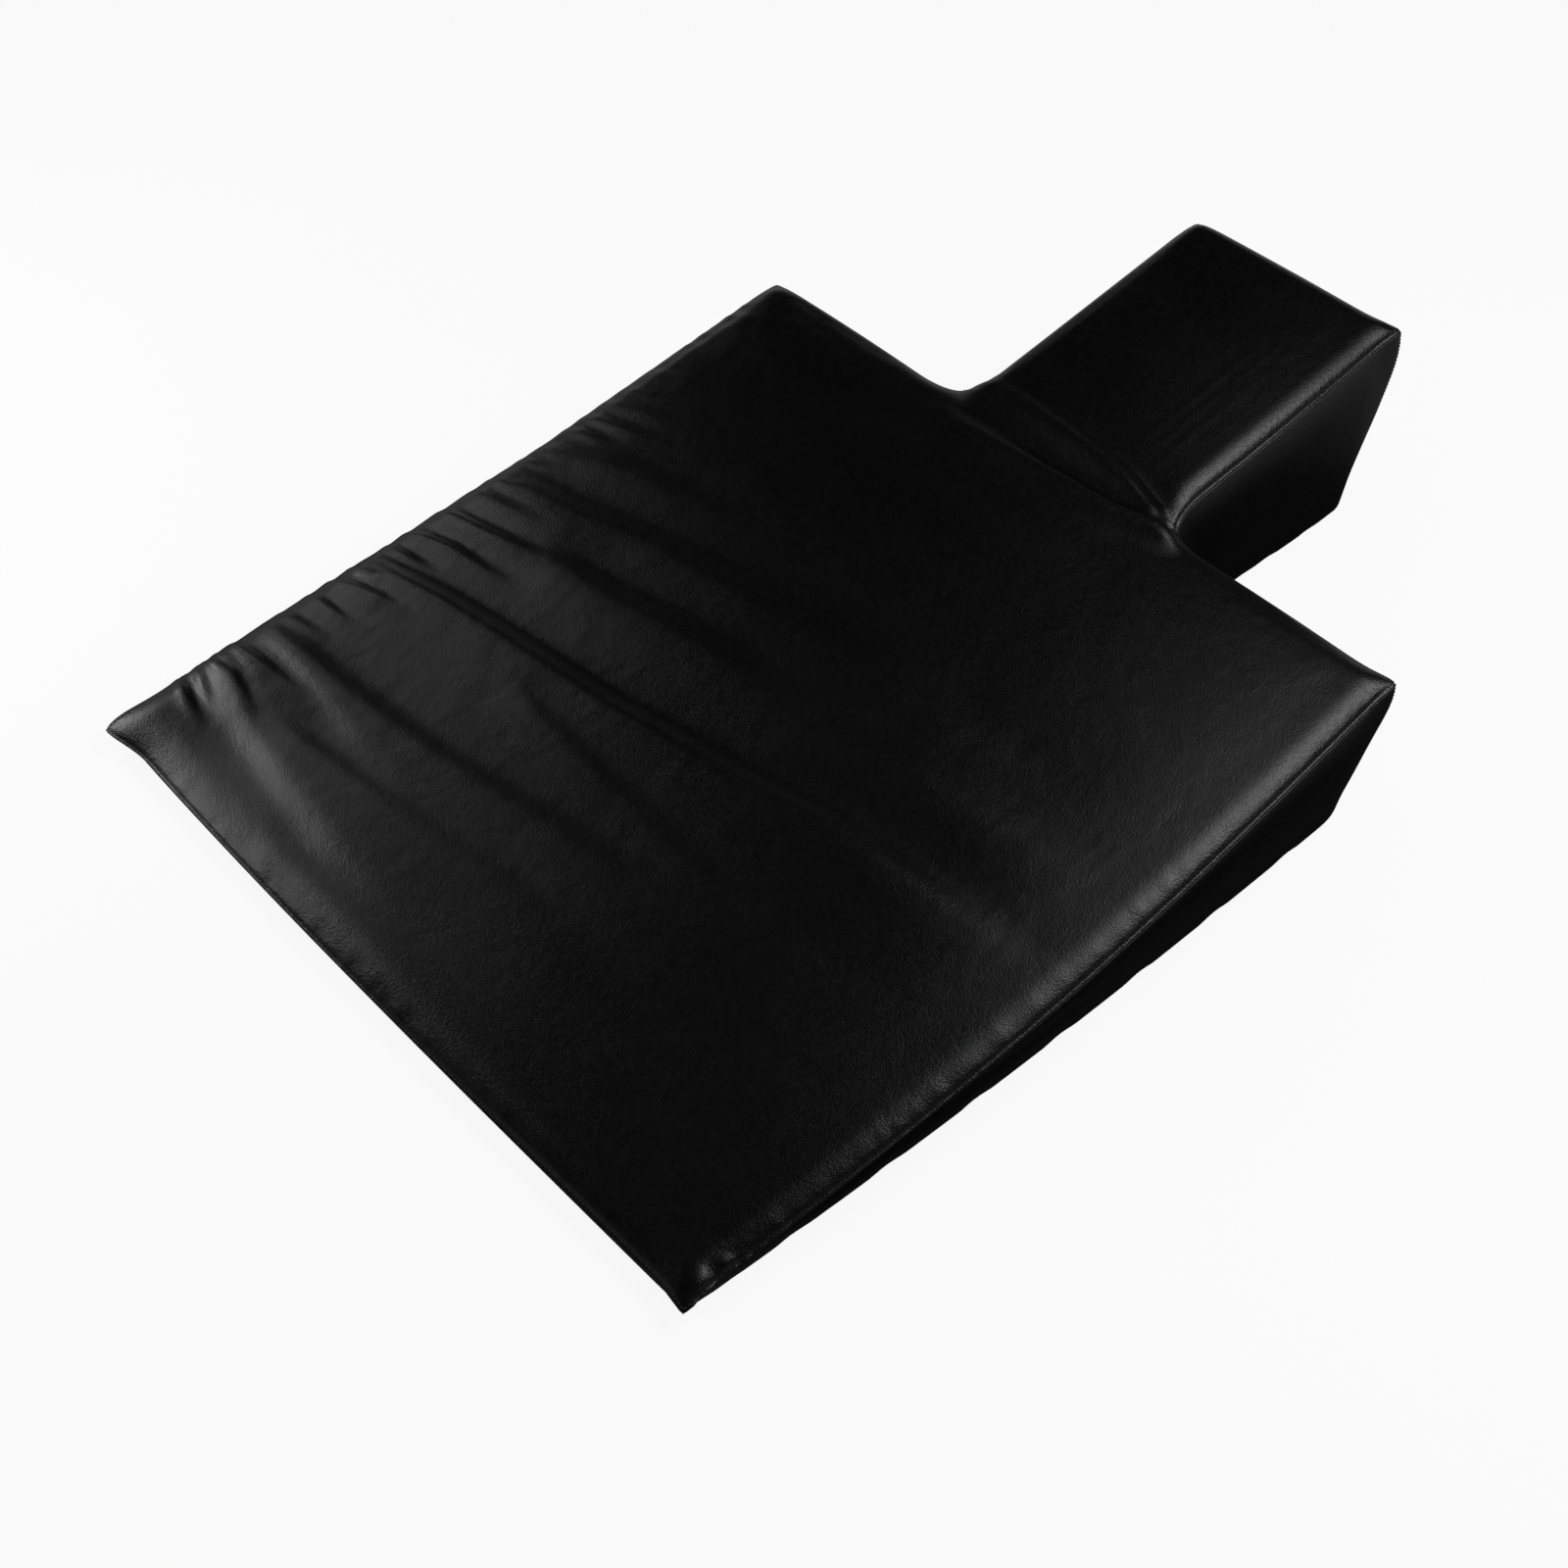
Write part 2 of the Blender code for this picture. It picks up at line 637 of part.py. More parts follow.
def add_tab(hinge, group, guides, material, parent):
    # A flat tab lying towards the low edge: its window straddles the slider's arch, under which its bar turns.
    bar_half = TAB_BAR / 2
    bm = bmesh.new()
    bmesh.ops.create_cube(bm, size=1)
    bmesh.ops.scale(bm, vec=(TAB_BAR, TAB_LENGTH, TAB_WIDTH), verts=bm.verts)
    bmesh.ops.translate(bm, vec=(0, bar_half - TAB_LENGTH / 2, 0), verts=bm.verts)
    far_edges = [
        edge for edge in bm.edges
        if all(vert.co.y < -TAB_LENGTH / 2 for vert in edge.verts) and near(edge.verts[0].co.z, edge.verts[1].co.z)
    ]
    bmesh.ops.bevel(
        bm, geom=far_edges, offset=TAB_WIDTH / 3, offset_type="OFFSET", segments=4, profile=0.5,
        affect="EDGES",
    )
    tab = add_object("zip_pull", mesh_from(bm, "zip_pull"), group, material, parent)
    tab.location = hinge
    window_half = TAB_WIDTH / 2 - TAB_ARM_WIDTH
    window = add_block(
        "pull_window_cutter",
        hinge + Vector((-TAB_BAR, -bar_half - TAB_WINDOW_LENGTH, -window_half)),
        hinge + Vector((TAB_BAR, -bar_half, window_half)),
        guides, None, parent,
    )
    add_boolean(tab, window, "DIFFERENCE")
    bm = bmesh.new()
    bmesh.ops.create_cone(
        bm, cap_ends=True, segments=16, radius1=TAB_HOLE_RADIUS, radius2=TAB_HOLE_RADIUS, depth=2 * TAB_BAR
    )
    hole = add_object("pull_hole_cutter", mesh_from(bm, "pull_hole_cutter"), guides, None, parent)
    hole.rotation_euler = (0, math.pi / 2, 0)
    hole.location = hinge + Vector((0, bar_half - TAB_LENGTH + TAB_HOLE_FROM_END, 0))
    add_boolean(tab, hole, "DIFFERENCE")
    return tab


def main():
    clear_scene()
    group = new_collection("foam_exercise_wedge")
    guides = new_collection("cutters")
    materials = {
        "leatherette": new_material("black leatherette", (0.012, 0.012, 0.013), 0.42),
        "foam": new_material("cream foam", (0.62, 0.55, 0.40), 0.95),
        "thread": new_material("black thread", (0.008, 0.008, 0.009), 0.60),
        "tape": new_material("zip tape", (0.010, 0.010, 0.011), 0.80),
        "teeth": new_material("zip coil", (0.015, 0.015, 0.016), 0.40),
        "slider": new_material("blackened metal", (0.060, 0.060, 0.065), 0.32, 0.9),
    }
    cover = build_cover(guides)
    places = [vert.co.y for vert in cover.vertices]
    frame = add_object("wedge_frame", None, group)
    frame.location = (0, -(min(places) + max(places)) / 2, 0)

    panels = {}
    for name in PANELS:
        panels[name] = add_panel(cover, name, group, materials["leatherette"], frame)
    wedge = add_foam(cover, "foam_wedge_core", False, group, materials["foam"], frame)
    add_foam(cover, "foam_headrest_core", True, group, materials["foam"], frame)
    add_threads(cover, group, materials["thread"], frame)

    layout = zip_layout()
    cut_zip_space(layout, panels["left_side_panel"], wedge, guides, frame)
    add_zip_chain(layout, group, guides, materials, frame)
    slider, hinge = add_slider(layout, group, guides, materials, frame)
    add_tab(hinge, group, guides, materials["slider"], frame)
    bpy.data.meshes.remove(cover)


main()
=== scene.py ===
import math
import random

import bmesh
import bpy
import numpy as np
from mathutils import Euler, Matrix, Vector
from mathutils.bvhtree import BVHTree
from mathutils.kdtree import KDTree


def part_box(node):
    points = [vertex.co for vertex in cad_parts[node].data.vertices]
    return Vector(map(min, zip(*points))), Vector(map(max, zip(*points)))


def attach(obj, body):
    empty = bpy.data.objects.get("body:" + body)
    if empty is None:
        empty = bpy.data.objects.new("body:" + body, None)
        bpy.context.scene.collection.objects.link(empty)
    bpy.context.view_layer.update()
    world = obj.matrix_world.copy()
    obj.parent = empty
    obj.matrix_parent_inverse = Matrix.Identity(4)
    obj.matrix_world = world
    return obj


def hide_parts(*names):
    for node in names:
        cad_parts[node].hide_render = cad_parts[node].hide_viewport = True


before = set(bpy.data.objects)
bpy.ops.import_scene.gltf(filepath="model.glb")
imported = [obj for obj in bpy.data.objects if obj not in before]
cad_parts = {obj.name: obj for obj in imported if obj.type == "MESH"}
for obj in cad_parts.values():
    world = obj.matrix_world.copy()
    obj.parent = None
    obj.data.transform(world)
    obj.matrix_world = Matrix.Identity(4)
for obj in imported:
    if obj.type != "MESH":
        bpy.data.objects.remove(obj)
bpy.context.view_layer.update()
print("frame loaded:", len(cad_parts), "nodes")


def clearSelection():
    if bpy.context.object and bpy.context.object.mode != "OBJECT":
        bpy.ops.object.mode_set(mode="OBJECT")
    bpy.ops.object.select_all(action="DESELECT")


def pickUp(piece):
    clearSelection()
    piece.select_set(True)
    bpy.context.view_layer.objects.active = piece


def pickFaces(piece, wanted):
    # selects faces by a test on each face, then goes into edit mode
    pickUp(piece)
    mesh = piece.data
    mesh.vertices.foreach_set("select", [False] * len(mesh.vertices))
    mesh.edges.foreach_set("select", [False] * len(mesh.edges))
    mesh.polygons.foreach_set("select", [bool(wanted(face)) for face in mesh.polygons])
    bpy.ops.object.mode_set(mode="EDIT")
    bpy.ops.mesh.select_mode(type="FACE")


def editAll(piece):
    pickUp(piece)
    bpy.ops.object.mode_set(mode="EDIT")
    bpy.ops.mesh.select_all(action="SELECT")


def leaveEdit():
    bpy.ops.object.mode_set(mode="OBJECT")


def faceOut(piece):
    editAll(piece)
    bpy.ops.mesh.normals_make_consistent(inside=False)
    leaveEdit()


def applyModifier(piece, kind, **settings):
    pickUp(piece)
    modifier = piece.modifiers.new(kind.capitalize(), kind)
    for name, value in settings.items():
        setattr(modifier, name, value)
    bpy.ops.object.modifier_apply(modifier=modifier.name)


def joinWords(node):
    # a node's name as one word: zip_tape_upper becomes zipTapeUpper
    first, *others = node.split("_")
    return first + "".join(word.capitalize() for word in others)


def points(piece):
    data = np.zeros(len(piece.data.vertices) * 3)
    piece.data.vertices.foreach_get("co", data)
    return data.reshape(-1, 3)


def setPoints(piece, places):
    piece.data.vertices.foreach_set("co", places.ravel())
    piece.data.update()


def keepValues(piece, **values):
    # a value on each point, which later cuts and subdivision carry along
    for name, numbers in values.items():
        layer = piece.data.attributes.get(name) or piece.data.attributes.new(name, "FLOAT", "POINT")
        layer.data.foreach_set("value", np.asarray(numbers, dtype=np.float32))


def keptValues(piece, *names):
    found = []
    for name in names:
        numbers = np.zeros(len(piece.data.vertices), dtype=np.float32)
        piece.data.attributes[name].data.foreach_get("value", numbers)
        found.append(numbers.astype(float))
    return found


def finishPiece(piece, name, node, slot):
    piece.name = piece.data.name = name
    piece.data.materials.clear()
    piece.data.materials.append(finishes[slot])
    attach(piece, "wedge")
    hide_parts(node)


def easeIn(value):
    value = np.clip(value, 0, 1)
    return value * value * (3 - 2 * value)


def arch(share):
    return np.sin(np.pi * np.clip(share, 0, 1))


def bell(distance, reach):
    return np.exp(-(distance / reach) ** 2)


cover = dict(
    width=0.600, wedgeLength=0.602, tongueWidth=0.193, tongueLength=0.249,
    lowEdge=-0.4239,                # where the low edge lies in the frame
    lowSeam=0.011, backSeam=0.104, endSeam=0.151,       # seam heights above the floor
    cell=0.005, wallRows=(0.14, 0.26, 0.38, 0.50, 0.62, 0.74, 0.86),
    straightFoot=0.030, straightMost=0.8,           # how high the walls stand straight, as the zip needs
    shoulderRise=0.0088, shoulderBend=2.0,
    shoulderWidth=0.017, tongueShoulder=0.013,      # on the wedge and on the headrest
    lowShoulder=0.018, lowSwell=0.018, swellFrom=0.6,       # at the low edge, and what it gains to the left
    wedgeCrown=0.006, tongueCrown=0.004, rootBlend=0.02,
    seamDip=0.003, dipReach=0.04,
    webReach=0.045, webPull=0.010,          # leather stretched across the two inner corners
    pullReach=0.040,                # how far into the top a seam's bow reaches
    pastEnd=0.012,                  # and how far past the ends of its wall
    roundReach=0.030,
    endFade=0.05, endRound=0.5,     # the walls are rounder away from the upright seams
    leftRound=0.3,
    tipSpread=1.4,                  # how much farther a corner's rise reaches than its ear
    # how a drawn-in foot rises, as a share of how far it is drawn in
    footLift=0.6, footSpread=0.55, footBend=1.6,
    # height, length and start of the small waves along the right foot
    footWaves=((0.0012, 0.071, 0), (0.0008, 0.037, 1)), waveReach=0.02,
)
halfWidth = cover["width"] / 2
halfTongue = cover["tongueWidth"] / 2
wedgeLength = cover["wedgeLength"]
fullLength = wedgeLength + cover["tongueLength"]
tiny = 0.001        # nearer than this, a point of the plan lies on a line of it
weld = 0.00001
softAngle = math.radians(40)

# the T seen from above, by its upright seams
plan = {
    "lowRight": (halfWidth, 0), "lowLeft": (-halfWidth, 0),
    "backRight": (halfWidth, wedgeLength), "backLeft": (-halfWidth, wedgeLength),
    "rootRight": (halfTongue, wedgeLength), "rootLeft": (-halfTongue, wedgeLength),
    "endRight": (halfTongue, fullLength), "endLeft": (-halfTongue, fullLength),
}

# each wall's ends and outward direction, its bow at the seam, the foot's share of that bow, how far the
# bow's middle leans to the start, and how far the foot is drawn in
walls = {
    "right_side": ("lowRight", "backRight", (1, 0), dict(bow=0.012, foot=0.50, lean=0.92, drawIn=0.003)),
    "left_side": ("lowLeft", "backLeft", (-1, 0), dict(bow=0.002, foot=0.0, lean=1.0, drawIn=0.003)),
    "front_edge": ("lowLeft", "lowRight", (0, -1), dict(bow=0.0056, foot=0.8, lean=0.75, drawIn=0.003)),
    "right_rear": ("rootRight", "backRight", (0, 1), dict(bow=0.002, foot=0.5, lean=1.0, drawIn=0.002)),
    "left_rear": ("rootLeft", "backLeft", (0, 1), dict(bow=0.002, foot=0.5, lean=1.0, drawIn=0.003)),
    "headrest_right": ("rootRight", "endRight", (1, 0), dict(bow=0.002, foot=0.8, lean=1.0, drawIn=0.0005)),
    "headrest_left": ("rootLeft", "endLeft", (-1, 0), dict(bow=-0.0005, foot=0.5, lean=1.0, drawIn=0.002)),
    "headrest_end": ("endLeft", "endRight", (0, 1), dict(bow=0.001, foot=0.5, lean=1.0, drawIn=0.002)),
}

# at each outer corner: its sewn ear, how much the corner is rounded, and how its foot is drawn in
corners = {
    "lowLeft": dict(ear=0.0085, rise=0.003, tip=0.020, round=0.0, foot=0.0, reach=0.02),
    "lowRight": dict(ear=0.004, rise=0.002, tip=0.016, round=0.0, foot=0.0, reach=0.02),
    "backLeft": dict(ear=0.001, rise=0.0, tip=0.016, round=0.003, foot=0.005, reach=0.022),
    "backRight": dict(ear=0.005, rise=0.003, tip=0.014, round=0.004, foot=0.010, reach=0.044),
    "endLeft": dict(ear=0.001, rise=0.0, tip=0.014, round=0.004, foot=0.008, reach=0.035),
    "endRight": dict(ear=0.004, rise=0.002, tip=0.014, round=0.002, foot=0.009, reach=0.038),
}

# the walls round out below the seam: how far, over what height, and as a share of the wall's height
wallRound = dict(out=0.0065, over=0.035, share=0.11, back=0.5, bend=2.2)

# the left seam stands out and up near the low edge, where it is gathered
swell = dict(out=0.0095, rise=0.008, reach=0.36, start=0.020, across=0.05)

# folds of the top: width, drop, the crest's share of the drop and how broad its back is, then the points of
# its path in the frame; lengths in mm
folds = [
    # from the left seam or near it far across the top
    (8.2, 7, 0.5, 2.7, (-330, -218), (-291, -210), (-258, -204), (-222, -197), (-179, -192), (-128, -186),
     (-60, -179), (-11, -170), (54, -160), (91, -151), (129, -142), (186, -136), (310, -125)),
    (11, 4.4, 0.5, 2.7, (-220, -125), (-131, -115), (-89, -106), (-35, -98), (54, -97), (91, -88),
     (129, -76), (182, -68), (300, -55)),
    (10.5, 3.8, 0.5, 2.7, (-330, -94), (-275, -87), (-230, -82), (-188, -73), (-145, -62), (-89, -53),
     (0, -42), (100, -32), (260, -26)),
    (8.5, 2.2, 0.5, 2.4, (-330, -62), (-275, -48), (-241, -34), (-202, -25), (-160, -18), (-40, -2)),
    (9.5, 3.6, 0.5, 2.7, (-330, -308), (-290, -300.6), (-258, -294), (-222, -293), (-188, -290),
     (-120, -284), (-60, -276), (-3, -266), (42, -261), (91, -249), (170, -236)),
    (7.5, 2, 0.5, 2.4, (-130, -216), (-60, -219), (-11, -222), (60, -223), (130, -224), (230, -220)),
    (8.5, 2.6, 0.5, 2.4, (-230, -343), (-60, -325), (-3, -317), (54, -314), (91, -306), (150, -298)),
    (8, 1.4, 0.5, 2.0, (-160, -402), (-60, -397), (0, -396), (90, -394)),
    # two ridges that run out of the gathered corner
    (11, -4, 0.5, 2.2, (-330, -345), (-300, -353), (-250, -364), (-170, -375), (-100, -381), (10, -385)),
    (8, -2.7, 0.5, 2.2, (-330, -303), (-292, -306), (-258, -309), (-216, -312), (-179, -317), (-80, -324)),
    # short pleats of the left seam, from the low corner up
    (2.4, 4.8, 0.5, 1.6, (-325, -366), (-302, -371), (-275, -378), (-245, -383)),
    (1.9, 2.6, 0.5, 1.6, (-320, -352), (-299, -357), (-272, -367), (-255, -373)),
    (2.2, 3, 0.5, 1.8, (-320, -352), (-298, -348), (-272, -344), (-245, -350), (-220, -359)),
    (1.7, 2, 0.5, 1.5, (-318, -341), (-297, -339), (-255, -339)),
    (3, 3, 0.5, 2.2, (-325, -327), (-292, -325), (-262, -322), (-230, -319), (-195, -316)),
    (2.6, 1.4, 0.5, 1.8, (-318, -288), (-290, -284), (-262, -280), (-240, -279)),
    (2.4, 2.2, 0.5, 1.8, (-318, -262), (-291, -261), (-264, -260), (-235, -256)),
    (2.8, 3.6, 0.5, 1.8, (-325, -248), (-292, -240), (-278, -236), (-257, -231), (-215, -224)),
    (2.2, 2.2, 0.5, 1.6, (-312, -226), (-291, -224), (-260, -219)),
    (2.5, 2.6, 0.5, 1.8, (-318, -195), (-290, -193), (-258, -189), (-240, -187)),
    (3.4, 3, 0.5, 2.0, (-325, -181), (-290, -173), (-258, -166), (-222, -163), (-170, -159)),
    (3.4, 3, 0.5, 2.0, (-325, -150), (-285, -144), (-258, -140), (-230, -135), (-175, -124)),
    (3.4, 1.6, 0.5, 1.8, (-318, -120), (-285, -117), (-262, -115), (-215, -108)),
    (2.5, 1.8, 0.5, 1.6, (-312, -104), (-285, -100), (-262, -96)),
    (2.4, 2, 0.5, 1.6, (-318, -76), (-283, -71), (-262, -66)),
    (3, 1.8, 0.5, 1.8, (-318, -33), (-281, -27), (-255, -24), (-235, -22)),
    (3.2, 1.6, 0.5, 2.0, (-318, -16), (-280, -10), (-240, -3), (-215, 2)),
    (3.4, 0.9, 0.5, 1.8, (-318, 4), (-281, 10), (-240, 20), (-220, 27)),
    (3.4, 0.9, 0.5, 1.8, (-318, 22), (-281, 28), (-250, 36)),
    (3.4, 0.8, 0.5, 1.8, (-318, 48), (-281, 53), (-240, 68)),
    (3.4, 0.7, 0.5, 1.8, (-318, 78), (-281, 83), (-255, 92)),
    # where the headrest rises from the wedge
    (5, -8, 0.4, 2.2, (130, 186), (115, 182), (94, 175), (60, 168), (0, 164), (-50, 162), (-130, 158)),
    (4.6, -6.6, 0.4, 2.2, (130, 168), (115, 176), (88, 187), (50, 196), (0, 200), (-50, 203), (-130, 206)),
    (4.8, 1.6, 0.5, 2.2, (-60, 226), (0, 222), (60, 217), (90, 206)),
]
foldEnds = dict(start=0.12, end=0.60, longest=0.17, spread=0.7)     # how a fold comes in, fades and widens
foldProfile = dict(crest=1.1, trough=0.7)       # where its crest and its trough lie, in widths from its line
creaseEdge = dict(folds=(0.3, 0.015), gathers=(0.35, 0.006))        # what is left of them at the seam

# gathers of the other seams: wall, from, to, how many, length, width, drop, and how their ends lean
gathers = [
    ("left_side", 0.505, 0.580, 5, 0.022, 0.0028, 0.0014, 0.22, 0.25),
    ("right_side", 0.008, 0.050, 7, 0.010, 0.0019, 0.0026, 0.10, 0.10),
    ("right_side", 0.070, 0.580, 34, 0.018, 0.0026, 0.0006, 0.15, 0.15),
    ("front_edge", 0.050, 0.560, 26, 0.014, 0.0030, 0.0005, 0.0, 0.0),
    ("headrest_right", 0.003, 0.030, 4, 0.022, 0.0026, 0.0026, -0.9, -0.3),
    ("headrest_left", 0.003, 0.040, 4, 0.018, 0.0030, 0.0018, 0.6, 0.2),
]
gatherLook = dict(
    # how they vary, then the shape that they share
    place=(0.2, 0.8), long=(0.5, 1.3), deep=(0.35, 1.3), wide=(0.8, 1.3), sway=(-0.1, 0.1),
    spread=1.4, fade=0.9, within=3, flank=1.5, crestShare=0.55,
)

stuffing = dict(
    frames=20, pressure=0.22, mass=0.02,
    seamHold=0.45, wallHold=0.15, topHold=0.07,       # how firmly the foam and the seams keep the leather
    edgeHold=0.30, edgeReach=0.032,         # firmer over the foam's edges, but not where it is gathered
    footStill=0.15, zipStill=0.85,          # up to these levels the walls don't move
    stretch=15, bend=0.1,
    slack=0.015, gatherSlack=0.10, gatherReach=0.055, cap=0.007,
)


def seamHeight(y):
    wedge = cover["lowSeam"] + (cover["backSeam"] - cover["lowSeam"]) * y / wedgeLength
    steeper = (cover["endSeam"] - cover["backSeam"]) / cover["tongueLength"]
    return np.where(y <= wedgeLength, wedge, cover["backSeam"] + steeper * (y - wedgeLength))


def swelling(y):
    # from nothing at the low left corner quickly to full, then slowly down along the left seam
    return np.maximum(1 - y / swell["reach"], 0) * (1 - np.exp(-np.maximum(y, 0) / swell["start"]))


def roundedWall(height, level):
    # how far a wall stands out below its seam, down to nothing at its foot
    below = np.clip((1 - level) * height / wallRound["over"], 0, 1)
    full = np.minimum(wallRound["out"], wallRound["share"] * height)
    return full * (1 - (1 - below) ** wallRound["bend"]) * easeIn(level / wallRound["back"])


def cornerDistance(x, y, name):
    return np.hypot(x - plan[name][0], y - plan[name][1])


def wallPush(x, y, level):
    # outward moves of plan points, strongest at the outline; level runs from 0 at the foot to 1 at the seam
    pushX = np.zeros_like(x)
    pushY = np.zeros_like(x)
    height = seamHeight(y)
    flat = np.minimum(cover["straightFoot"] / height, cover["straightMost"])
    rise = easeIn((level - flat) / (1 - flat))
    for name, (first, last, out, wall) in walls.items():
        start = plan[first]
        run = Vector(plan[last]) - Vector(start)
        length = run.length
        share = ((x - start[0]) * run.x + (y - start[1]) * run.y) / length ** 2
        inward = np.abs((start[0] - x) * out[0] + (start[1] - y) * out[1])
        beyond = np.maximum(np.maximum(-share, share - 1), 0) * length
        reached = bell(inward, cover["pullReach"]) * bell(beyond, cover["pastEnd"])
        share = np.clip(share, 0, 1)
        bowed = rise + wall["foot"] * (1 - rise)
        amount = wall["bow"] * arch(share ** wall["lean"]) * bowed - wall["drawIn"] * (1 - rise)
        ends = easeIn(np.minimum(share, 1 - share) * length / cover["endFade"])
        if name == "left_side":
            amount += swell["out"] * swelling(y) * rise
            amount += cover["leftRound"] * roundedWall(height, level) * ends * rise
        else:
            amount += roundedWall(height, level) * (1 - cover["endRound"] * (1 - ends))
        for place, corner in corners.items():
            if place in (first, last):
                along = cornerDistance(x, y, place)
                amount += corner["ear"] * bell(along, corner["tip"]) * level ** 2
                amount -= corner["round"] * np.maximum(1 - along / cover["roundReach"], 0) ** 2
                sunk = np.maximum(1 - along / corner["reach"], 0) ** 2
                amount -= corner["foot"] * sunk * np.maximum(1 - level, 0) ** cover["footBend"]
        if first in ("rootRight", "rootLeft"):
            along = np.hypot(np.abs(x) - halfTongue, y - wedgeLength)
            amount += cover["webPull"] * np.maximum(1 - along / cover["webReach"], 0) ** 2
        pushX += out[0] * amount * reached
        pushY += out[1] * amount * reached
    return pushX, pushY


def cornerRise(x, y):
    return sum(
        corner["rise"] * bell(cornerDistance(x, y, name), corner["tip"] * cover["tipSpread"])
        for name, corner in corners.items()
    )


def edgeDistances(x, y):
    # distance to the side, to the low or far edge, and to the shoulder line or its corner
    onTongue = y > wedgeLength
    side = np.where(onTongue, halfTongue - np.abs(x), halfWidth - np.abs(x))
    ends = np.where(onTongue, fullLength - y, y)
    beside = np.maximum(halfTongue - np.abs(x), 0)
    rear = np.hypot(beside, wedgeLength - y)
    return np.maximum(side, 0), np.maximum(ends, 0), rear


def shoulder(distance, width):
    share = np.clip(distance / width, 0, 1)
    return 1 - (1 - share) ** cover["shoulderBend"]


def lengthOf(path):
    return sum(math.dist(a, b) for a, b in zip(path, path[1:]))


def distanceToPath(x, y, path):
    # nearest distance, signed side and share along a path of points
    best = np.full(x.shape, 1e9)
    side = np.zeros_like(x)
    share = np.zeros_like(x)
    total = lengthOf(path)
    gone = 0
    for (ax, ay), (bx, by) in zip(path, path[1:]):
        run = math.dist((ax, ay), (bx, by))
        along = np.clip(((x - ax) * (bx - ax) + (y - ay) * (by - ay)) / run ** 2, 0, 1)
        away = np.hypot(x - ax - along * (bx - ax), y - ay - along * (by - ay))
        nearer = away < best
        cross = (bx - ax) * (y - ay) - (by - ay) * (x - ax)
        best = np.where(nearer, away, best)
        side = np.where(nearer, np.sign(cross), side)
        share = np.where(nearer, (gone + along * run) / total, share)
        gone += run
    return best, side, share


def foldShape(place, flank):
    # across a fold, in widths: it rises slowly to a crest and drops steeply into a shallow trough
    crest = place + foldProfile["crest"]
    trough = place - foldProfile["trough"]
    return bell(crest, np.where(crest < 0, flank, 1.0)), bell(trough, np.where(trough < 0, 1.0, flank))


def foldHeight(x, y):
    total = np.zeros_like(x)
    for width, drop, crestShare, flank, *path in folds:
        path = [(across / 1000, along / 1000) for across, along in path]
        away, side, share = distanceToPath(x, y, path)
        fading = min(foldEnds["end"], foldEnds["longest"] / lengthOf(path))
        taper = easeIn(share / foldEnds["start"]) * easeIn((1 - share) / fading)
        wide = width / 1000 * (1 + foldEnds["spread"] * share)
        crest, trough = foldShape(side * away / wide, flank)
        total += drop / 1000 * taper * (crestShare * crest - (1 - crestShare) * trough)
    return total


def gatherHeight(x, y, rng):
    # short pleats that run inwards from a seam, each with its own length and lean
    look = gatherLook
    total = np.zeros_like(x)
    for wall, first, last, count, length, width, drop, leanFrom, leanTo in gathers:
        begin, finish, out, _ = walls[wall]
        start = plan[begin]
        run = (Vector(plan[finish]) - Vector(start)).normalized()
        step = (last - first) / count
        for number in range(count):
            along = first + step * (number + rng.uniform(*look["place"]))
            long = length * rng.uniform(*look["long"])
            deep = drop * rng.uniform(*look["deep"])
            wide = width * rng.uniform(*look["wide"])
            lean = (leanFrom + (leanTo - leanFrom) * number / count + rng.uniform(*look["sway"])) * long
            path = []
            for inwards, leaning in ((0, 0), (0.5, 0.4), (1, 1)):
                spot = Vector(start) + run * (along + lean * leaning) - Vector(out) * long * inwards
                path.append(tuple(spot))
            away, side, share = distanceToPath(x, y, path)
            spread = wide * (1 + look["spread"] * share)
            fade = (1 - share) ** look["fade"] * bell(np.maximum(away - look["within"] * spread, 0), spread)
            crest, trough = foldShape(side * away / spread * (out[1] - out[0]), look["flank"])
            total += deep * fade * (look["crestShare"] * crest - (1 - look["crestShare"]) * trough)
    return total


def topHeight(x, y):
    side, ends, rear = edgeDistances(x, y)
    tongueShare = easeIn((y - wedgeLength) / cover["rootBlend"] + 0.5)
    wide = cover["shoulderWidth"] * (1 - tongueShare) + cover["tongueShoulder"] * tongueShare
    beside = (y <= wedgeLength) & (np.abs(x) >= halfTongue - cover["shoulderWidth"])
    rearShare = np.where(beside, shoulder(rear, wide), 1.0)
    low = cover["lowShoulder"] + cover["lowSwell"] * np.clip(cover["swellFrom"] - x / halfWidth, 0, 1)
    endWide = np.where(y > wedgeLength, wide, low)
    full = shoulder(side, wide) * shoulder(ends, endWide) * rearShare
    wedge = arch(x / cover["width"] + 0.5) * arch(y / wedgeLength) * cover["wedgeCrown"]
    tongue = arch(x / cover["tongueWidth"] + 0.5) * arch((y - wedgeLength) / cover["tongueLength"])
    crown = wedge * (1 - tongueShare) + tongue * cover["tongueCrown"] * tongueShare
    dip = cover["seamDip"] * arch(y / wedgeLength) * bell(side, cover["dipReach"])
    swollen = swell["rise"] * swelling(y) * bell(x + halfWidth, swell["across"]) * (y < wedgeLength)
    return seamHeight(y) - dip + cornerRise(x, y) + swollen + cover["shoulderRise"] * full + crown


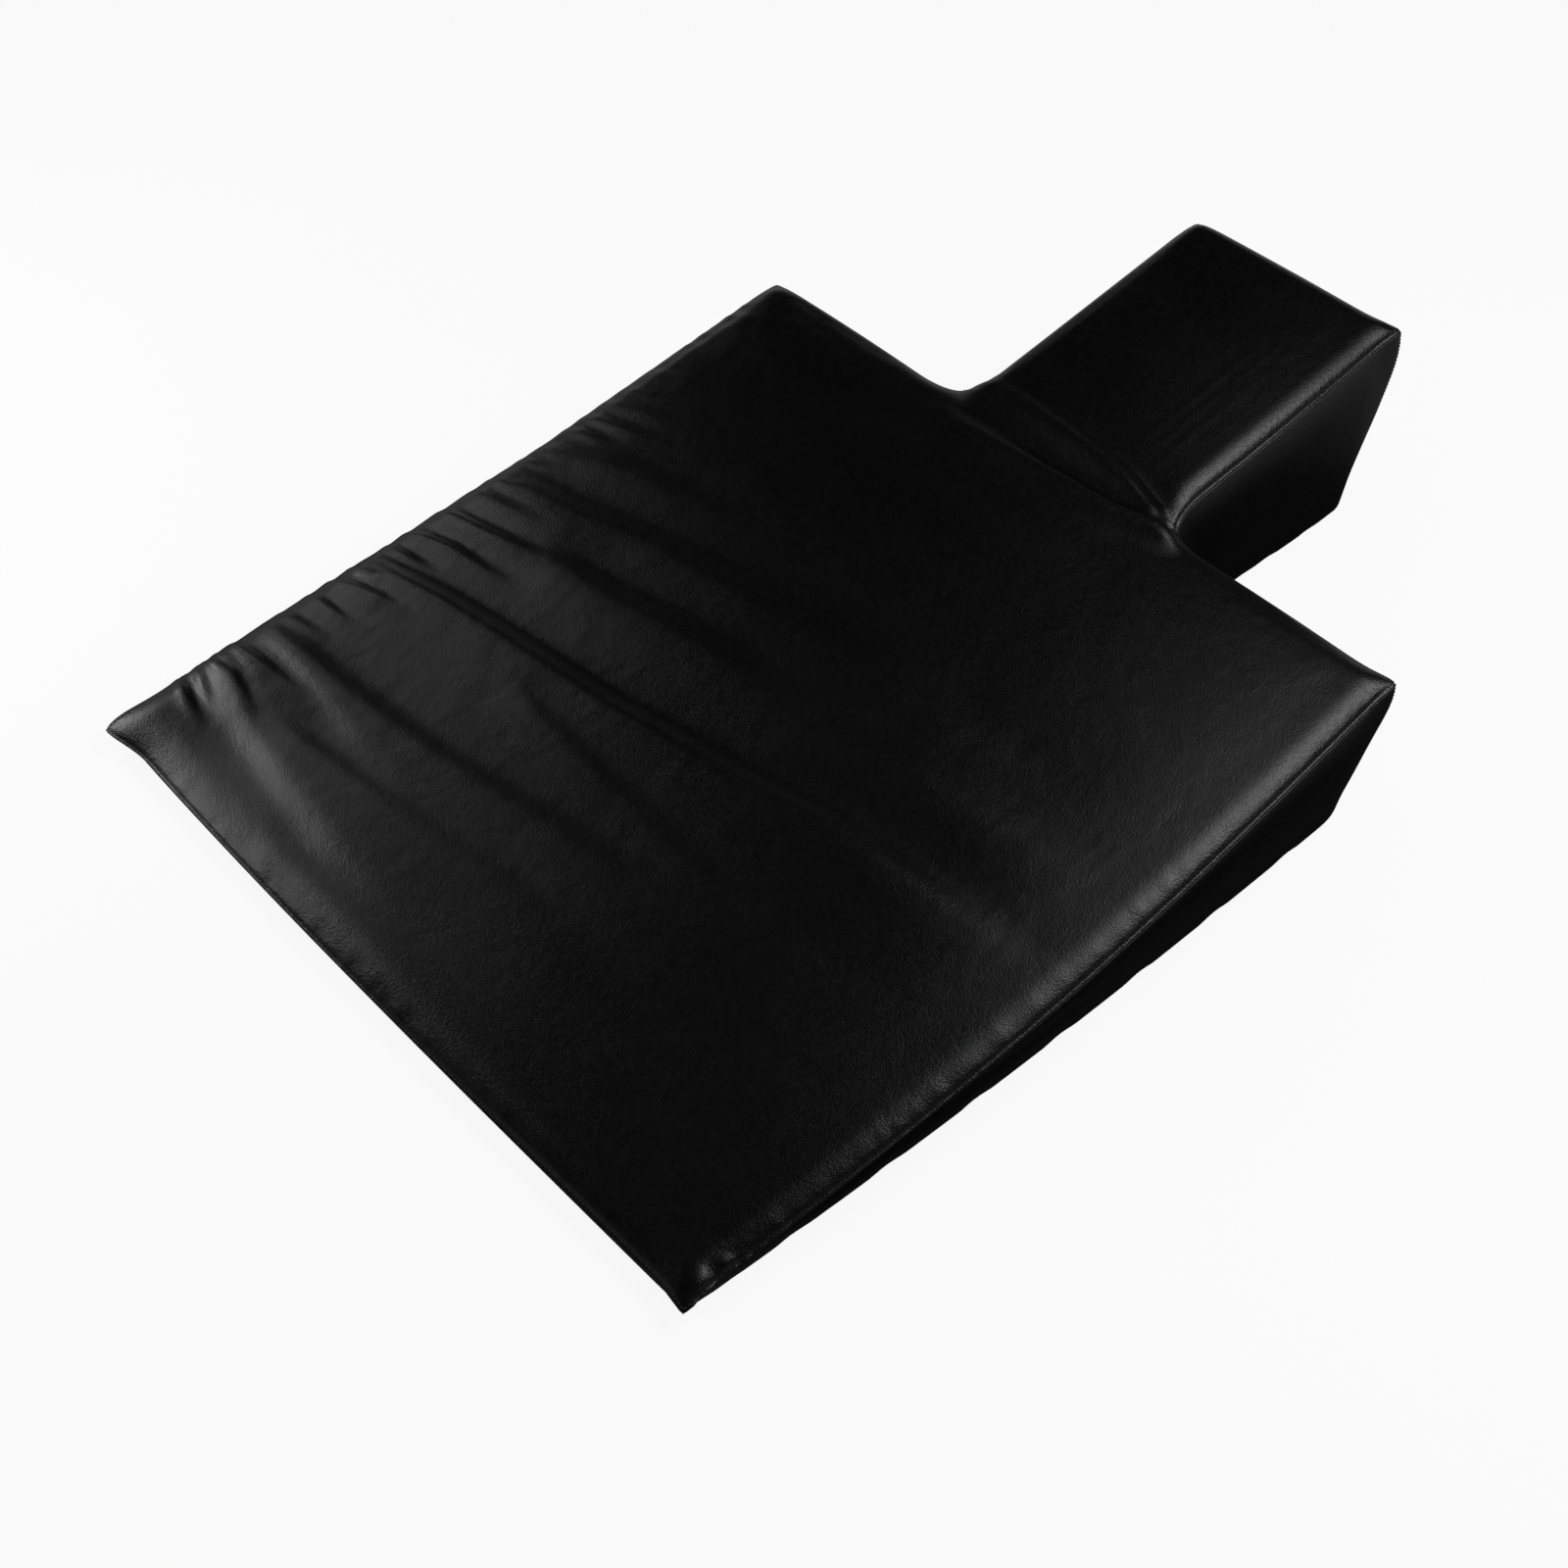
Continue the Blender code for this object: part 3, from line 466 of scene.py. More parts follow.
def shapeCover(piece):
    # moves the straight T block, whose points are cell numbers, to its place on the stuffed cover
    unit = points(piece)
    columns = cover["tongueColumns"] / 2
    inner = halfTongue / columns
    outer = (halfWidth - halfTongue) / cover["shoulderColumns"]
    span = np.abs(unit[:, 0])
    x = np.sign(unit[:, 0]) * np.where(span <= columns, span * inner, halfTongue + (span - columns) * outer)
    wedgeCell = wedgeLength / cover["wedgeCells"]
    tongueCell = cover["tongueLength"] / cover["tongueCells"]
    over = unit[:, 1] - cover["wedgeCells"]
    y = np.where(over <= 0, unit[:, 1] * wedgeCell, wedgeLength + over * tongueCell)
    level = unit[:, 2]

    side = edgeDistances(x, y)[0]
    pushX, pushY = wallPush(x, y, level)
    z = topHeight(x, y) * level
    for name, corner in corners.items():
        near = bell(cornerDistance(x, y, name), corner["reach"] * cover["footSpread"])
        z += cover["footLift"] * corner["foot"] * near * np.maximum(1 - level, 0) ** 2
    wave = sum(high * np.sin(y * 2 * math.pi / long + start) for high, long, start in cover["footWaves"])
    lifted = np.maximum(wave, 0) * (1 - level) * bell(side, cover["waveReach"])
    z += np.where((level < 0.5) & (x > 0), lifted, 0)
    setPoints(piece, np.stack([x + pushX, y + pushY + cover["lowEdge"], z], axis=1))
    keepValues(piece, planX=x, planY=y, level=level)


def panelName(x, y, level):
    # which panel of the cover a middle point of the straight block lies on
    half = cover["tongueColumns"] / 2
    near = 0.01
    side = "right" if x > 0 else "left"
    if level > 1 - tiny:
        return "top_panel"
    if level < tiny:
        return "base_panel"
    if y < near:
        return "front_edge_panel"
    if y > cover["wedgeCells"] + cover["tongueCells"] - near:
        return "headrest_end_panel"
    if abs(abs(x) - half - cover["shoulderColumns"]) < near:
        return side + "_side_panel"
    if abs(y - cover["wedgeCells"]) < near and abs(x) > half + near:
        return side + "_rear_panel"
    return "headrest_" + side + "_panel"


panels = [
    "top_panel", "base_panel", "front_edge_panel", "right_side_panel", "left_side_panel", "right_rear_panel",
    "left_rear_panel", "headrest_right_panel", "headrest_left_panel", "headrest_end_panel",
]


def blankCover():
    # a flat sheet of cells, cut to the T, pulled up into a block, with rows up its walls
    cover["tongueColumns"] = round(cover["tongueWidth"] / cover["cell"])
    cover["shoulderColumns"] = round((halfWidth - halfTongue) / cover["cell"])
    cover["wedgeCells"] = round(wedgeLength / cover["cell"])
    cover["tongueCells"] = round(cover["tongueLength"] / cover["cell"])
    columns = cover["tongueColumns"] + 2 * cover["shoulderColumns"]
    cells = cover["wedgeCells"] + cover["tongueCells"]
    clearSelection()
    bpy.ops.mesh.primitive_grid_add(x_subdivisions=columns, y_subdivisions=cells, size=1)
    piece = bpy.context.object
    piece.name = piece.data.name = "leatherCover"
    bpy.ops.object.mode_set(mode="EDIT")
    bpy.ops.transform.resize(value=(columns, cells, 1), center_override=(0, 0, 0))
    bpy.ops.transform.translate(value=(0, cells / 2, 0))
    leaveEdit()
    half = cover["tongueColumns"] / 2
    pickFaces(piece, lambda face: abs(face.center.x) > half and face.center.y > cover["wedgeCells"])
    bpy.ops.mesh.delete(type="FACE")
    bpy.ops.mesh.select_all(action="SELECT")
    bpy.ops.mesh.extrude_region_move(TRANSFORM_OT_translate={"value": (0, 0, 1)})
    for row in cover["wallRows"]:
        bpy.ops.mesh.select_all(action="SELECT")
        bpy.ops.mesh.bisect(plane_co=(0, 0, row), plane_no=(0, 0, 1))
    faceOut(piece)
    for name in panels:
        piece.data.materials.append(bpy.data.materials.new("pattern " + name))
    chosen = [panels.index(panelName(*face.center)) for face in piece.data.polygons]
    piece.data.polygons.foreach_set("material_index", chosen)
    return piece


def stuffCover(piece):
    # presses the leather out with the stuffing inside, with spare length where the left seam is gathered
    x, y, level = keptValues(piece, "planX", "planY", "level")
    side, ends, _ = edgeDistances(x, y)
    top = level > 1 - tiny
    seam = np.minimum(side, ends) < tiny
    seam |= (np.abs(x) > halfTongue - tiny) & (np.abs(y - wedgeLength) < tiny)
    nearEdge = np.minimum(ends, side + (x < 0)) < stuffing["edgeReach"]
    hold = np.where(top, stuffing["topHold"], stuffing["wallHold"])
    hold = np.where(top & nearEdge, stuffing["edgeHold"], hold)
    hold = np.where(top & seam, stuffing["seamHold"], hold)
    zipWall = (x < -halfWidth + tiny) & (level < stuffing["zipStill"]) & (y < wedgeLength)
    hold = np.where((level < stuffing["footStill"]) | zipWall, 1.0, hold)
    group = piece.vertex_groups.new(name="held")
    for value in np.unique(hold):
        group.add([int(index) for index in np.where(hold == value)[0]], float(value), "REPLACE")

    before = points(piece)
    piece.shape_key_add(name="sewn")
    cutKey = piece.shape_key_add(name="cut")
    spare = stuffing["slack"] + stuffing["gatherSlack"] * bell(side, stuffing["gatherReach"]) * (x < 0)
    longer = before.copy()
    longer[:, 1] = before[:, 1] + (y - wedgeLength / 2) * spare * top * (y < wedgeLength)
    cutKey.data.foreach_set("co", longer.ravel())
    cutKey.value = 0

    pickUp(piece)
    cloth = piece.modifiers.new("Stuffing", "CLOTH")
    settings = dict(
        quality=5, mass=stuffing["mass"], bending_stiffness=stuffing["bend"],
        tension_stiffness=stuffing["stretch"], compression_stiffness=stuffing["stretch"],
        shear_stiffness=stuffing["stretch"] / 3,
        vertex_group_mass="held", pin_stiffness=1.0, rest_shape_key=cutKey,
        use_pressure=True, uniform_pressure_force=stuffing["pressure"],
    )
    for name, value in settings.items():
        setattr(cloth.settings, name, value)
    cloth.settings.effector_weights.gravity = 0
    cloth.collision_settings.use_collision = False
    cloth.point_cache.frame_start = 1
    cloth.point_cache.frame_end = stuffing["frames"]
    for number in range(1, stuffing["frames"] + 1):
        bpy.context.scene.frame_set(number)
    after = points(piece.evaluated_get(bpy.context.evaluated_depsgraph_get()))
    piece.modifiers.remove(cloth)
    piece.shape_key_clear()
    bpy.context.scene.frame_set(1)

    move = after - before
    far = np.linalg.norm(move, axis=1)
    print("stuffing moved the leather by", round(float(far.max()) * 1000, 1), "mm at most")
    keep = np.minimum(1, stuffing["cap"] / np.maximum(far, 1e-9))
    setPoints(piece, before + move * keep[:, None])


def separatePanel(piece, name):
    # cuts one panel out of the cover and returns it as its own piece
    pickFaces(piece, lambda face: face.material_index == panels.index(name))
    bpy.ops.mesh.separate(type="SELECTED")
    leaveEdit()
    return next(found for found in bpy.context.selected_objects if found is not piece)


sewing = dict(
    # inset and height of each row along a panel's edge
    topSteps=((0.0011, 0.00035), (0.0014, -0.00055), (0.0013, 0.00005)),
    wallSteps=((0.0008, 0.0002),),
    baseSteps=((0.0012, 0.0003), (0.0014, -0.0004), (0.0014, 0.0)),
    seamSink=0.00045, stitchStep=2,     # the stitches run along the second row
    turnedEdge=0.0009,              # how far a panel's cut edge is turned in
    creaseSeed=11,
)
steps = {"top_panel": sewing["topSteps"], "base_panel": sewing["baseSteps"]}


def sewPanels(piece, names):
    # rows along each panel's edge: the rounded lip, the sunk line of stitches and the flat beyond it
    mesh = bmesh.new()
    mesh.from_mesh(piece.data)
    lift = mesh.verts.layers.float.new("lift")
    step = mesh.verts.layers.int.new("step")
    between = [
        edge for edge in mesh.edges
        if edge.is_boundary or len({face.material_index for face in edge.link_faces}) > 1
    ]
    for edge in between:
        for vert in edge.verts:
            vert[lift] = -sewing["seamSink"]
    for name in names:
        number = panels.index(name)
        faces = [face for face in mesh.faces if face.material_index == number]
        for count, (inset, height) in enumerate(steps.get(name, sewing["wallSteps"]), 1):
            made = bmesh.ops.inset_region(
                mesh, faces=faces, thickness=inset, use_boundary=True, use_even_offset=name == "top_panel",
            )["faces"]
            inner = {vert for face in faces for vert in face.verts}
            for face in made:
                face.material_index = number
                for vert in face.verts:
                    if vert in inner:
                        vert[lift] = height
                        vert[step] = count
    mesh.normal_update()
    moves = [(vert, vert.normal * vert[lift]) for vert in mesh.verts if vert[lift]]
    for vert, move in moves:
        vert.co += move
        vert.co.z = max(vert.co.z, 0)
    rows = {}
    for name in names:
        number = panels.index(name)
        edges = [
            edge for edge in mesh.edges
            if all(vert[step] == sewing["stitchStep"] for vert in edge.verts)
            and all(face.material_index == number for face in edge.link_faces)
        ]
        rows[name] = walkEdges(edges)
    mesh.to_mesh(piece.data)
    mesh.free()
    return rows


def walkEdges(edges):
    # the longest run of joined edges, as places in order
    links = {}
    for edge in edges:
        for vert in edge.verts:
            links.setdefault(vert, []).append(edge.other_vert(vert))
    best = []
    waiting = set(links)
    while waiting:
        ends = [vert for vert in waiting if len(links[vert]) == 1]
        vert = min(ends or waiting, key=lambda item: item.index)
        run = []
        while vert is not None:
            run.append(vert)
            waiting.discard(vert)
            vert = next((other for other in links[vert] if other in waiting), None)
        if len(run) > len(best):
            best = run
    return [vert.co.copy() for vert in best]


def pressCreases(piece):
    # the folds and gathers, once the leather is fine enough to hold them
    x, y, level = keptValues(piece, "planX", "planY", "level")
    places = points(piece)
    outward = np.zeros(places.size)
    piece.data.vertex_normals.foreach_get("vector", outward)
    side, ends, rear = edgeDistances(x, y)
    atSeam = np.minimum(np.minimum(side, ends), np.where(np.abs(x) > halfTongue - tiny, rear, 1))
    heights = {
        "folds": foldHeight(places[:, 0], places[:, 1]),
        "gathers": gatherHeight(x, y, random.Random(sewing["creaseSeed"])),
    }
    press = np.zeros_like(x)
    for kind, height in heights.items():
        left, reach = creaseEdge[kind]
        press += height * (left + (1 - left) * easeIn(atSeam / reach))
    press *= level > 1 - tiny
    setPoints(piece, places + outward.reshape(-1, 3) * press[:, None])


class Wire:
    # one output of a material's nodes, so that sums on it read as sums
    def __init__(self, finish, output):
        self.finish = finish
        self.output = output

    def __add__(self, other):
        return self.finish.maths("ADD", self, other)

    __radd__ = __add__

    def __sub__(self, other):
        return self.finish.maths("SUBTRACT", self, other)

    def __rsub__(self, other):
        return self.finish.maths("SUBTRACT", other, self)

    def __mul__(self, other):
        return self.finish.maths("MULTIPLY", self, other)

    __rmul__ = __mul__


class Finish:
    # a material or a world being made: add() places any node, with a ramp's stops among its settings
    def __init__(self, name, kind="materials"):
        self.made = getattr(bpy.data, kind).new(name)
        self.made.use_nodes = True
        self.tree = self.made.node_tree
        self.tree.nodes.clear()

    def add(self, kind, settings=None, inputs=None, output=0):
        node = self.tree.nodes.new(kind)
        for name, value in (settings or {}).items():
            if name == "stops":
                ramp = node.color_ramp
                for number, (place, tone) in enumerate(value):
                    stop = ramp.elements[number] if number < 2 else ramp.elements.new(place)
                    stop.position = place
                    stop.color = (tone, tone, tone, 1)
            else:
                setattr(node, name, value)
        for name, value in (inputs or {}).items():
            if isinstance(value, Wire):
                self.tree.links.new(value.output, node.inputs[name])
            else:
                node.inputs[name].default_value = value
        return Wire(self, node.outputs[output]) if node.outputs else node

    def maths(self, operation, *values):
        return self.add("ShaderNodeMath", {"operation": operation}, dict(enumerate(values)))

    def place(self):
        return self.add("ShaderNodeTexCoord", output="Object")

    def noise(self, place, scale, detail=2.0, roughness=0.5):
        inputs = {"Vector": place, "Scale": scale, "Detail": detail, "Roughness": roughness}
        return self.add("ShaderNodeTexNoise", inputs=inputs)

    def cells(self, feature, place, scale):
        return self.add("ShaderNodeTexVoronoi", {"feature": feature}, {"Vector": place, "Scale": scale})

    def stretched(self, place, scale):
        return self.add("ShaderNodeMapping", inputs={"Vector": place, "Scale": scale})

    def ramp(self, value, *stops):
        return self.add("ShaderNodeValToRGB", {"stops": stops}, {"Fac": value})

    def blend(self, share, first, second):
        inputs = {"Factor": share, "A": first, "B": second}
        return self.add("ShaderNodeMix", {"data_type": "RGBA"}, inputs, "Result")

    def rays(self):
        names = ("Is Camera Ray", "Is Glossy Ray", "Is Transmission Ray")
        return [self.add("ShaderNodeLightPath", output=name) for name in names]

    def bump(self, height, distance, strength=1.0, under=None):
        inputs = {"Height": height, "Distance": distance, "Strength": strength}
        if under:
            inputs["Normal"] = under
        return self.add("ShaderNodeBump", inputs=inputs)

    def done(self, **inputs):
        words = {name.replace("_", " "): value for name, value in inputs.items()}
        shader = self.add("ShaderNodeBsdfPrincipled", inputs=words)
        self.add("ShaderNodeOutputMaterial", inputs={"Surface": shader})
        return self.made


leatherLook = dict(
    black=(0.0005, 0.0005, 0.0006, 1), worn=(0.0044, 0.0043, 0.0042, 1),
    roughness=0.30, specular=0.42,
    grainScale=950.0, grainDepth=0.00016, poreScale=2600.0, rippleScale=330.0, rippleDepth=0.00019,
    warpScale=160.0, warp=0.0014, mottleScale=260.0, patchScale=11.0, smears=(5.0, 22.0, 22.0),
    pebbles=((0.15, 0.0), (0.75, 1.0)), mottle=((0.40, 0.0), (0.80, 0.4)),
    rubbed=(0.35, 0.9),                     # how much of the wear shows, the least and what the patches add
    uneven=(0.10, 0.09, 0.07),              # how far patches, mottle and smears change the roughness
    polish=0.05, valley=0.05,               # rubbed leather is smoother, and the grain's valleys are rougher
    pebbleShare=0.72, poreShare=0.22, bump=0.75,
)


def makeLeather():
    finish = Finish("black leatherette")
    place = finish.place()
    look = leatherLook
    waver = {"Vector": place, "Scale": look["warpScale"], "Detail": 1.0}
    warp = finish.add("ShaderNodeTexNoise", inputs=waver, output="Color")
    bent = finish.add(
        "ShaderNodeVectorMath", {"operation": "MULTIPLY_ADD"}, {0: warp, 1: (look["warp"],) * 3, 2: place},
    )
    cells = finish.cells("F1", bent, look["grainScale"])
    pebbles = 1 - finish.ramp(cells, *look["pebbles"])
    pores = finish.noise(place, look["poreScale"])
    mottle = finish.noise(place, look["mottleScale"], 3.0, 0.6)
    patches = finish.noise(place, look["patchScale"], 3.0, 0.55)
    smears = finish.noise(finish.stretched(place, look["smears"]), 1.0, 3.0, 0.6)
    wear = finish.add("ShaderNodeAttribute", {"attribute_name": "wear"}, output="Fac")
    least, more = look["rubbed"]
    rubbed = finish.maths("MINIMUM", wear * (least + more * patches), 1)
    tone = finish.blend(rubbed, look["black"], look["worn"])
    tone = finish.blend(finish.ramp(mottle, *look["mottle"]), tone, look["worn"])
    roughness = look["roughness"]
    for amount, pattern in zip(look["uneven"], (patches, mottle, smears)):
        roughness = roughness + amount * (pattern - 0.5)
    roughness = roughness - look["polish"] * rubbed + look["valley"] * (1 - pebbles)
    ripples = finish.noise(place, look["rippleScale"], 2.0, 0.6)
    under = finish.bump(ripples, look["rippleDepth"], look["bump"])
    grain = look["pebbleShare"] * pebbles + look["poreShare"] * pores
    normal = finish.bump(grain, look["grainDepth"], look["bump"], under)
    return finish.done(
        Base_Color=tone, Roughness=roughness, Normal=normal, Specular_IOR_Level=look["specular"],
    )


def makeThread():
    finish = Finish("black sewing thread")
    place = finish.place()
    fibres = finish.noise(finish.stretched(place, (1500.0, 1500.0, 4200.0)), 1.0)
    fuzz = finish.noise(place, 5200.0)
    tone = finish.blend(fibres, (0.004, 0.004, 0.004, 1), (0.020, 0.020, 0.021, 1))
    normal = finish.bump(fibres + 0.4 * fuzz, 0.00008, 0.8)
    return finish.done(Base_Color=tone, Roughness=0.55 + 0.25 * fuzz, Normal=normal)


def makeFoam():
    finish = Finish("open cell foam")
    place = finish.place()
    cells = finish.cells("DISTANCE_TO_EDGE", place, 850.0)
    struts = finish.ramp(cells, (0.0, 1.0), (0.16, 0.0))
    age = finish.noise(place, 9.0, 3.0)
    tone = finish.blend(age, (0.62, 0.60, 0.52, 1), (0.72, 0.66, 0.50, 1))
    # the hollows between the struts are painted darker: painted shade in the foam's pores
    tone = finish.blend(0.6 * (1 - struts), tone, (0.36, 0.33, 0.26, 1))
    normal = finish.bump(struts, 0.0005)
    return finish.done(Base_Color=tone, Roughness=0.85 + 0.1 * struts, Normal=normal)


def makeTape():
    finish = Finish("woven zip tape")
    place = finish.place()
    warp, weft = [
        finish.add(
            "ShaderNodeTexWave", {"wave_type": "BANDS", "bands_direction": direction},
            {"Vector": place, "Scale": scale, "Distortion": bent, "Detail": 1.0, "Detail Scale": 2.0},
        )
        for direction, scale, bent in (("Y", 520.0, 0.6), ("Z", 780.0, 0.5))
    ]
    weave = warp * weft
    fuzz = finish.noise(place, 3500.0)
    tone = finish.blend(weave, (0.005, 0.005, 0.006, 1), (0.024, 0.024, 0.026, 1))
    normal = finish.bump(weave + 0.3 * fuzz, 0.00012)
    return finish.done(Base_Color=tone, Roughness=0.72 + 0.18 * fuzz, Normal=normal)


def makeCoil():
    finish = Finish("nylon zip coil")
    place = finish.place()
    fine = finish.noise(place, 2400.0)
    dull = finish.noise(place, 300.0, 3.0)
    tone = finish.blend(dull, (0.008, 0.008, 0.008, 1), (0.018, 0.018, 0.019, 1))
    normal = finish.bump(fine, 0.00003)
    return finish.done(Base_Color=tone, Roughness=0.28 + 0.22 * dull, Normal=normal)


def makeMetal():
    finish = Finish("dark nickel")
    place = finish.place()
    brushed = finish.noise(finish.stretched(place, (2200.0, 260.0, 2200.0)), 1.0, 3.0, 0.6)
    dull = finish.noise(place, 420.0, 3.0, 0.6)
    specks = finish.ramp(finish.noise(place, 1500.0, 1.0), (0.62, 0.0), (0.72, 1.0))
    tone = finish.blend(dull, (0.20, 0.20, 0.21, 1), (0.34, 0.34, 0.35, 1))
    tone = finish.blend(0.5 * specks, tone, (0.10, 0.095, 0.09, 1))
    roughness = 0.24 + 0.16 * dull + 0.12 * brushed + 0.2 * specks
    normal = finish.bump(brushed, 0.00002)
    return finish.done(Base_Color=tone, Roughness=roughness, Metallic=1.0, Normal=normal)


finishes = {
    "leatherette": makeLeather(), "thread": makeThread(), "foam": makeFoam(),
    "zip_tape": makeTape(), "zip_coil": makeCoil(), "zip_metal": makeMetal(),
}
print("finishes:", len(finishes))

leather = blankCover()
shapeCover(leather)
base = separatePanel(leather, "base_panel")
print("cover sewn:", len(leather.data.polygons), "faces")
stuffCover(leather)
print("cover stuffed")

wallNames = [name for name in panels if name not in ("top_panel", "base_panel")]
seamLines = {"base_seam_thread": sewPanels(base, ["base_panel"])["base_panel"]}


def upright(piece, place):
    # the upright seam at a corner of the T, from the foot to the top seam
    x, y, level = keptValues(piece, "planX", "planY", "level")
    here = np.where((np.abs(x - place[0]) < tiny / 2) & (np.abs(y - place[1]) < tiny / 2))[0]
    ordered = sorted(here, key=lambda index: level[index])
    return [piece.data.vertices[int(index)].co.copy() for index in ordered]


# each thread's panels, in the order in which they are sewn; each corner's seam joins two walls
skins = {"top_seam_thread": ["top_panel"], "base_seam_thread": ["base_panel"]}
seamCorners = {
    "front": ("low", "{}_side_panel", "front_edge_panel"),
    "rear": ("back", "{}_side_panel", "{}_rear_panel"),
    "notch": ("root", "headrest_{}_panel", "{}_rear_panel"),
    "headrest": ("end", "headrest_{}_panel", "headrest_end_panel"),
}
for word, (corner, *beside) in seamCorners.items():
    for side in ("right", "left"):
        node = f"{word}_{side}_seam_thread"
        skins[node] = [name.format(side) for name in beside]
        seamLines[node] = upright(leather, plan[corner + side.capitalize()])
seamLines["top_seam_thread"] = sewPanels(leather, ["top_panel"] + wallNames)["top_panel"]
print("seams sewn:", len(seamLines))

rubbing = dict(seam=0.75, seamReach=0.007, tip=0.5, tipReach=0.03)


def markWear(piece, lines):
    # how rubbed the leather is: most on the lips beside its seams and at its corners
    spots = [spot for line in lines for spot in line]
    tree = KDTree(len(spots))
    for number, spot in enumerate(spots):
        tree.insert(spot, number)
    tree.balance()
    tips = [Vector(plan[name]) + Vector((0, cover["lowEdge"])) for name in corners]
    wear = []
    for vert in piece.data.vertices:
        seam = tree.find(vert.co)[2]
        tip = min((vert.co.xy - spot).length for spot in tips)
        atSeam = rubbing["seam"] * math.exp(-(seam / rubbing["seamReach"]) ** 2)
        wear.append(atSeam + rubbing["tip"] * math.exp(-(tip / rubbing["tipReach"]) ** 2))
    keepValues(piece, wear=wear)


applyModifier(leather, "SUBSURF", levels=1, render_levels=1)
pressCreases(leather)
for piece in (leather, base):
    pickUp(piece)
    bpy.ops.object.shade_smooth()
cut = {name: separatePanel(leather, name) for name in wallNames}
cut["top_panel"] = leather
cut["base_panel"] = base
zipper = dict(
    height=0.015, slot=0.009, slotPast=0.0003, cutBelow=0.04,       # the slot runs a little past the tape
    stitchHeight=0.006,
    tapeStart=0.0014, tapeEdge=0.0110, tapeThick=0.00045, tapeBehind=0.0001,
    tapeCells=(6, 84), tapeWave=(0.00012, 0.023),
    rowMiddle=0.00152, coilHigh=0.00098, coilDeep=0.0007, coilPitch=0.00125, coilWire=0.0003,
    coilSides=5, coilTurns=8,
    rowStart=0.0036, rowShort=0.0066,       # where the row starts on the tape, and how much shorter it is
    front=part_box("zip_tape_upper")[0].y, rear=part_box("zip_tape_upper")[1].y,
    middle=(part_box("zip_teeth_upper")[0].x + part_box("zip_teeth_upper")[1].x) / 2,
    wall=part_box("left_side_panel")[0].x,
)


def cutSlot(piece):
    # the gap in the left wall that shows the zip
    low = zipper["height"] - zipper["slot"] / 2
    high = zipper["height"] + zipper["slot"] / 2
    front = zipper["front"] - zipper["slotPast"]
    rear = zipper["rear"] + zipper["slotPast"]
    for axis, place in ((2, low), (2, high), (1, front), (1, rear)):
        # a cut leaves only its own line selected, so the faces are picked again
        normal = Vector((0, 0, 0))
        normal[axis] = 1
        pickFaces(piece, lambda face: face.center.z < zipper["cutBelow"])
        bpy.ops.mesh.bisect(plane_co=normal * place, plane_no=normal)
        leaveEdit()
    pickFaces(piece, lambda face: low < face.center.z < high and front < face.center.y < rear)
    bpy.ops.mesh.delete(type="FACE")
    leaveEdit()


cutSlot(cut["left_side_panel"])
for node, piece in cut.items():
    markWear(piece, seamLines.values())
    # the turned-in edge of a sewn panel
    applyModifier(
        piece, "SOLIDIFY", thickness=sewing["turnedEdge"], offset=-1, use_rim=True, use_rim_only=True,
    )
    finishPiece(piece, joinWords(node.replace("panel", "leather")), node, "leatherette")
print("panels cut:", len(cut))

stitching = dict(
    pitch=0.0031, share=0.74, radius=0.00042, sag=0.9, sides=6,
    thin=0.45, rings=(-0.36, -0.16, 0.16, 0.36), turn=0.05, raised=0.0001,
)


def oneStitch():
    # one short bar of thread along x, round, with its ends pulled down into the leather
    length = stitching["pitch"] * stitching["share"]
    clearSelection()
    bpy.ops.mesh.primitive_cylinder_add(
        vertices=stitching["sides"], radius=stitching["radius"], depth=length, rotation=(0, math.pi / 2, 0),
    )
    piece = bpy.context.object
    bpy.ops.object.transform_apply(location=False, rotation=True, scale=False)
    bpy.ops.object.mode_set(mode="EDIT")
    for share in stitching["rings"]:
        bpy.ops.mesh.select_all(action="SELECT")
        bpy.ops.mesh.bisect(plane_co=(share * length, 0, 0), plane_no=(1, 0, 0))
    leaveEdit()
    for vert in piece.data.vertices:
        share = abs(vert.co.x) / (length / 2)
        vert.co.y *= 1 - stitching["thin"] * share ** 4
        vert.co.z *= 1 - stitching["thin"] * share ** 4
        vert.co.z -= stitching["sag"] * stitching["radius"] * share ** 2.5
    shape = [vert.co.copy() for vert in piece.data.vertices]
    faces = [list(face.vertices) for face in piece.data.polygons]
    bpy.data.objects.remove(piece)
    return shape, faces


def surfaceOf(pieces):
    places = []
    faces = []
    for piece in pieces:
        start = len(places)
        places += [vert.co.copy() for vert in piece.data.vertices]
        faces += [[start + index for index in face.vertices] for face in piece.data.polygons]
    return BVHTree.FromPolygons(places, faces)


def evenly(line, closed, pitch):
    # places a stitch apart along a line, with their directions
    line = line + [line[0]] if closed else line
    runs = [(b - a).length for a, b in zip(line, line[1:])]
    total = sum(runs)
    count = max(int(total / pitch), 1)
    step = total / count
    found = []
    number = 0
    gone = 0
    for turn in range(count):
        wanted = (turn + 0.5) * step
        while gone + runs[number] < wanted and number < len(runs) - 1:
            gone += runs[number]
            number += 1
        a, b = line[number], line[number + 1]
        found.append((a.lerp(b, (wanted - gone) / runs[number]), (b - a).normalized()))
    return found


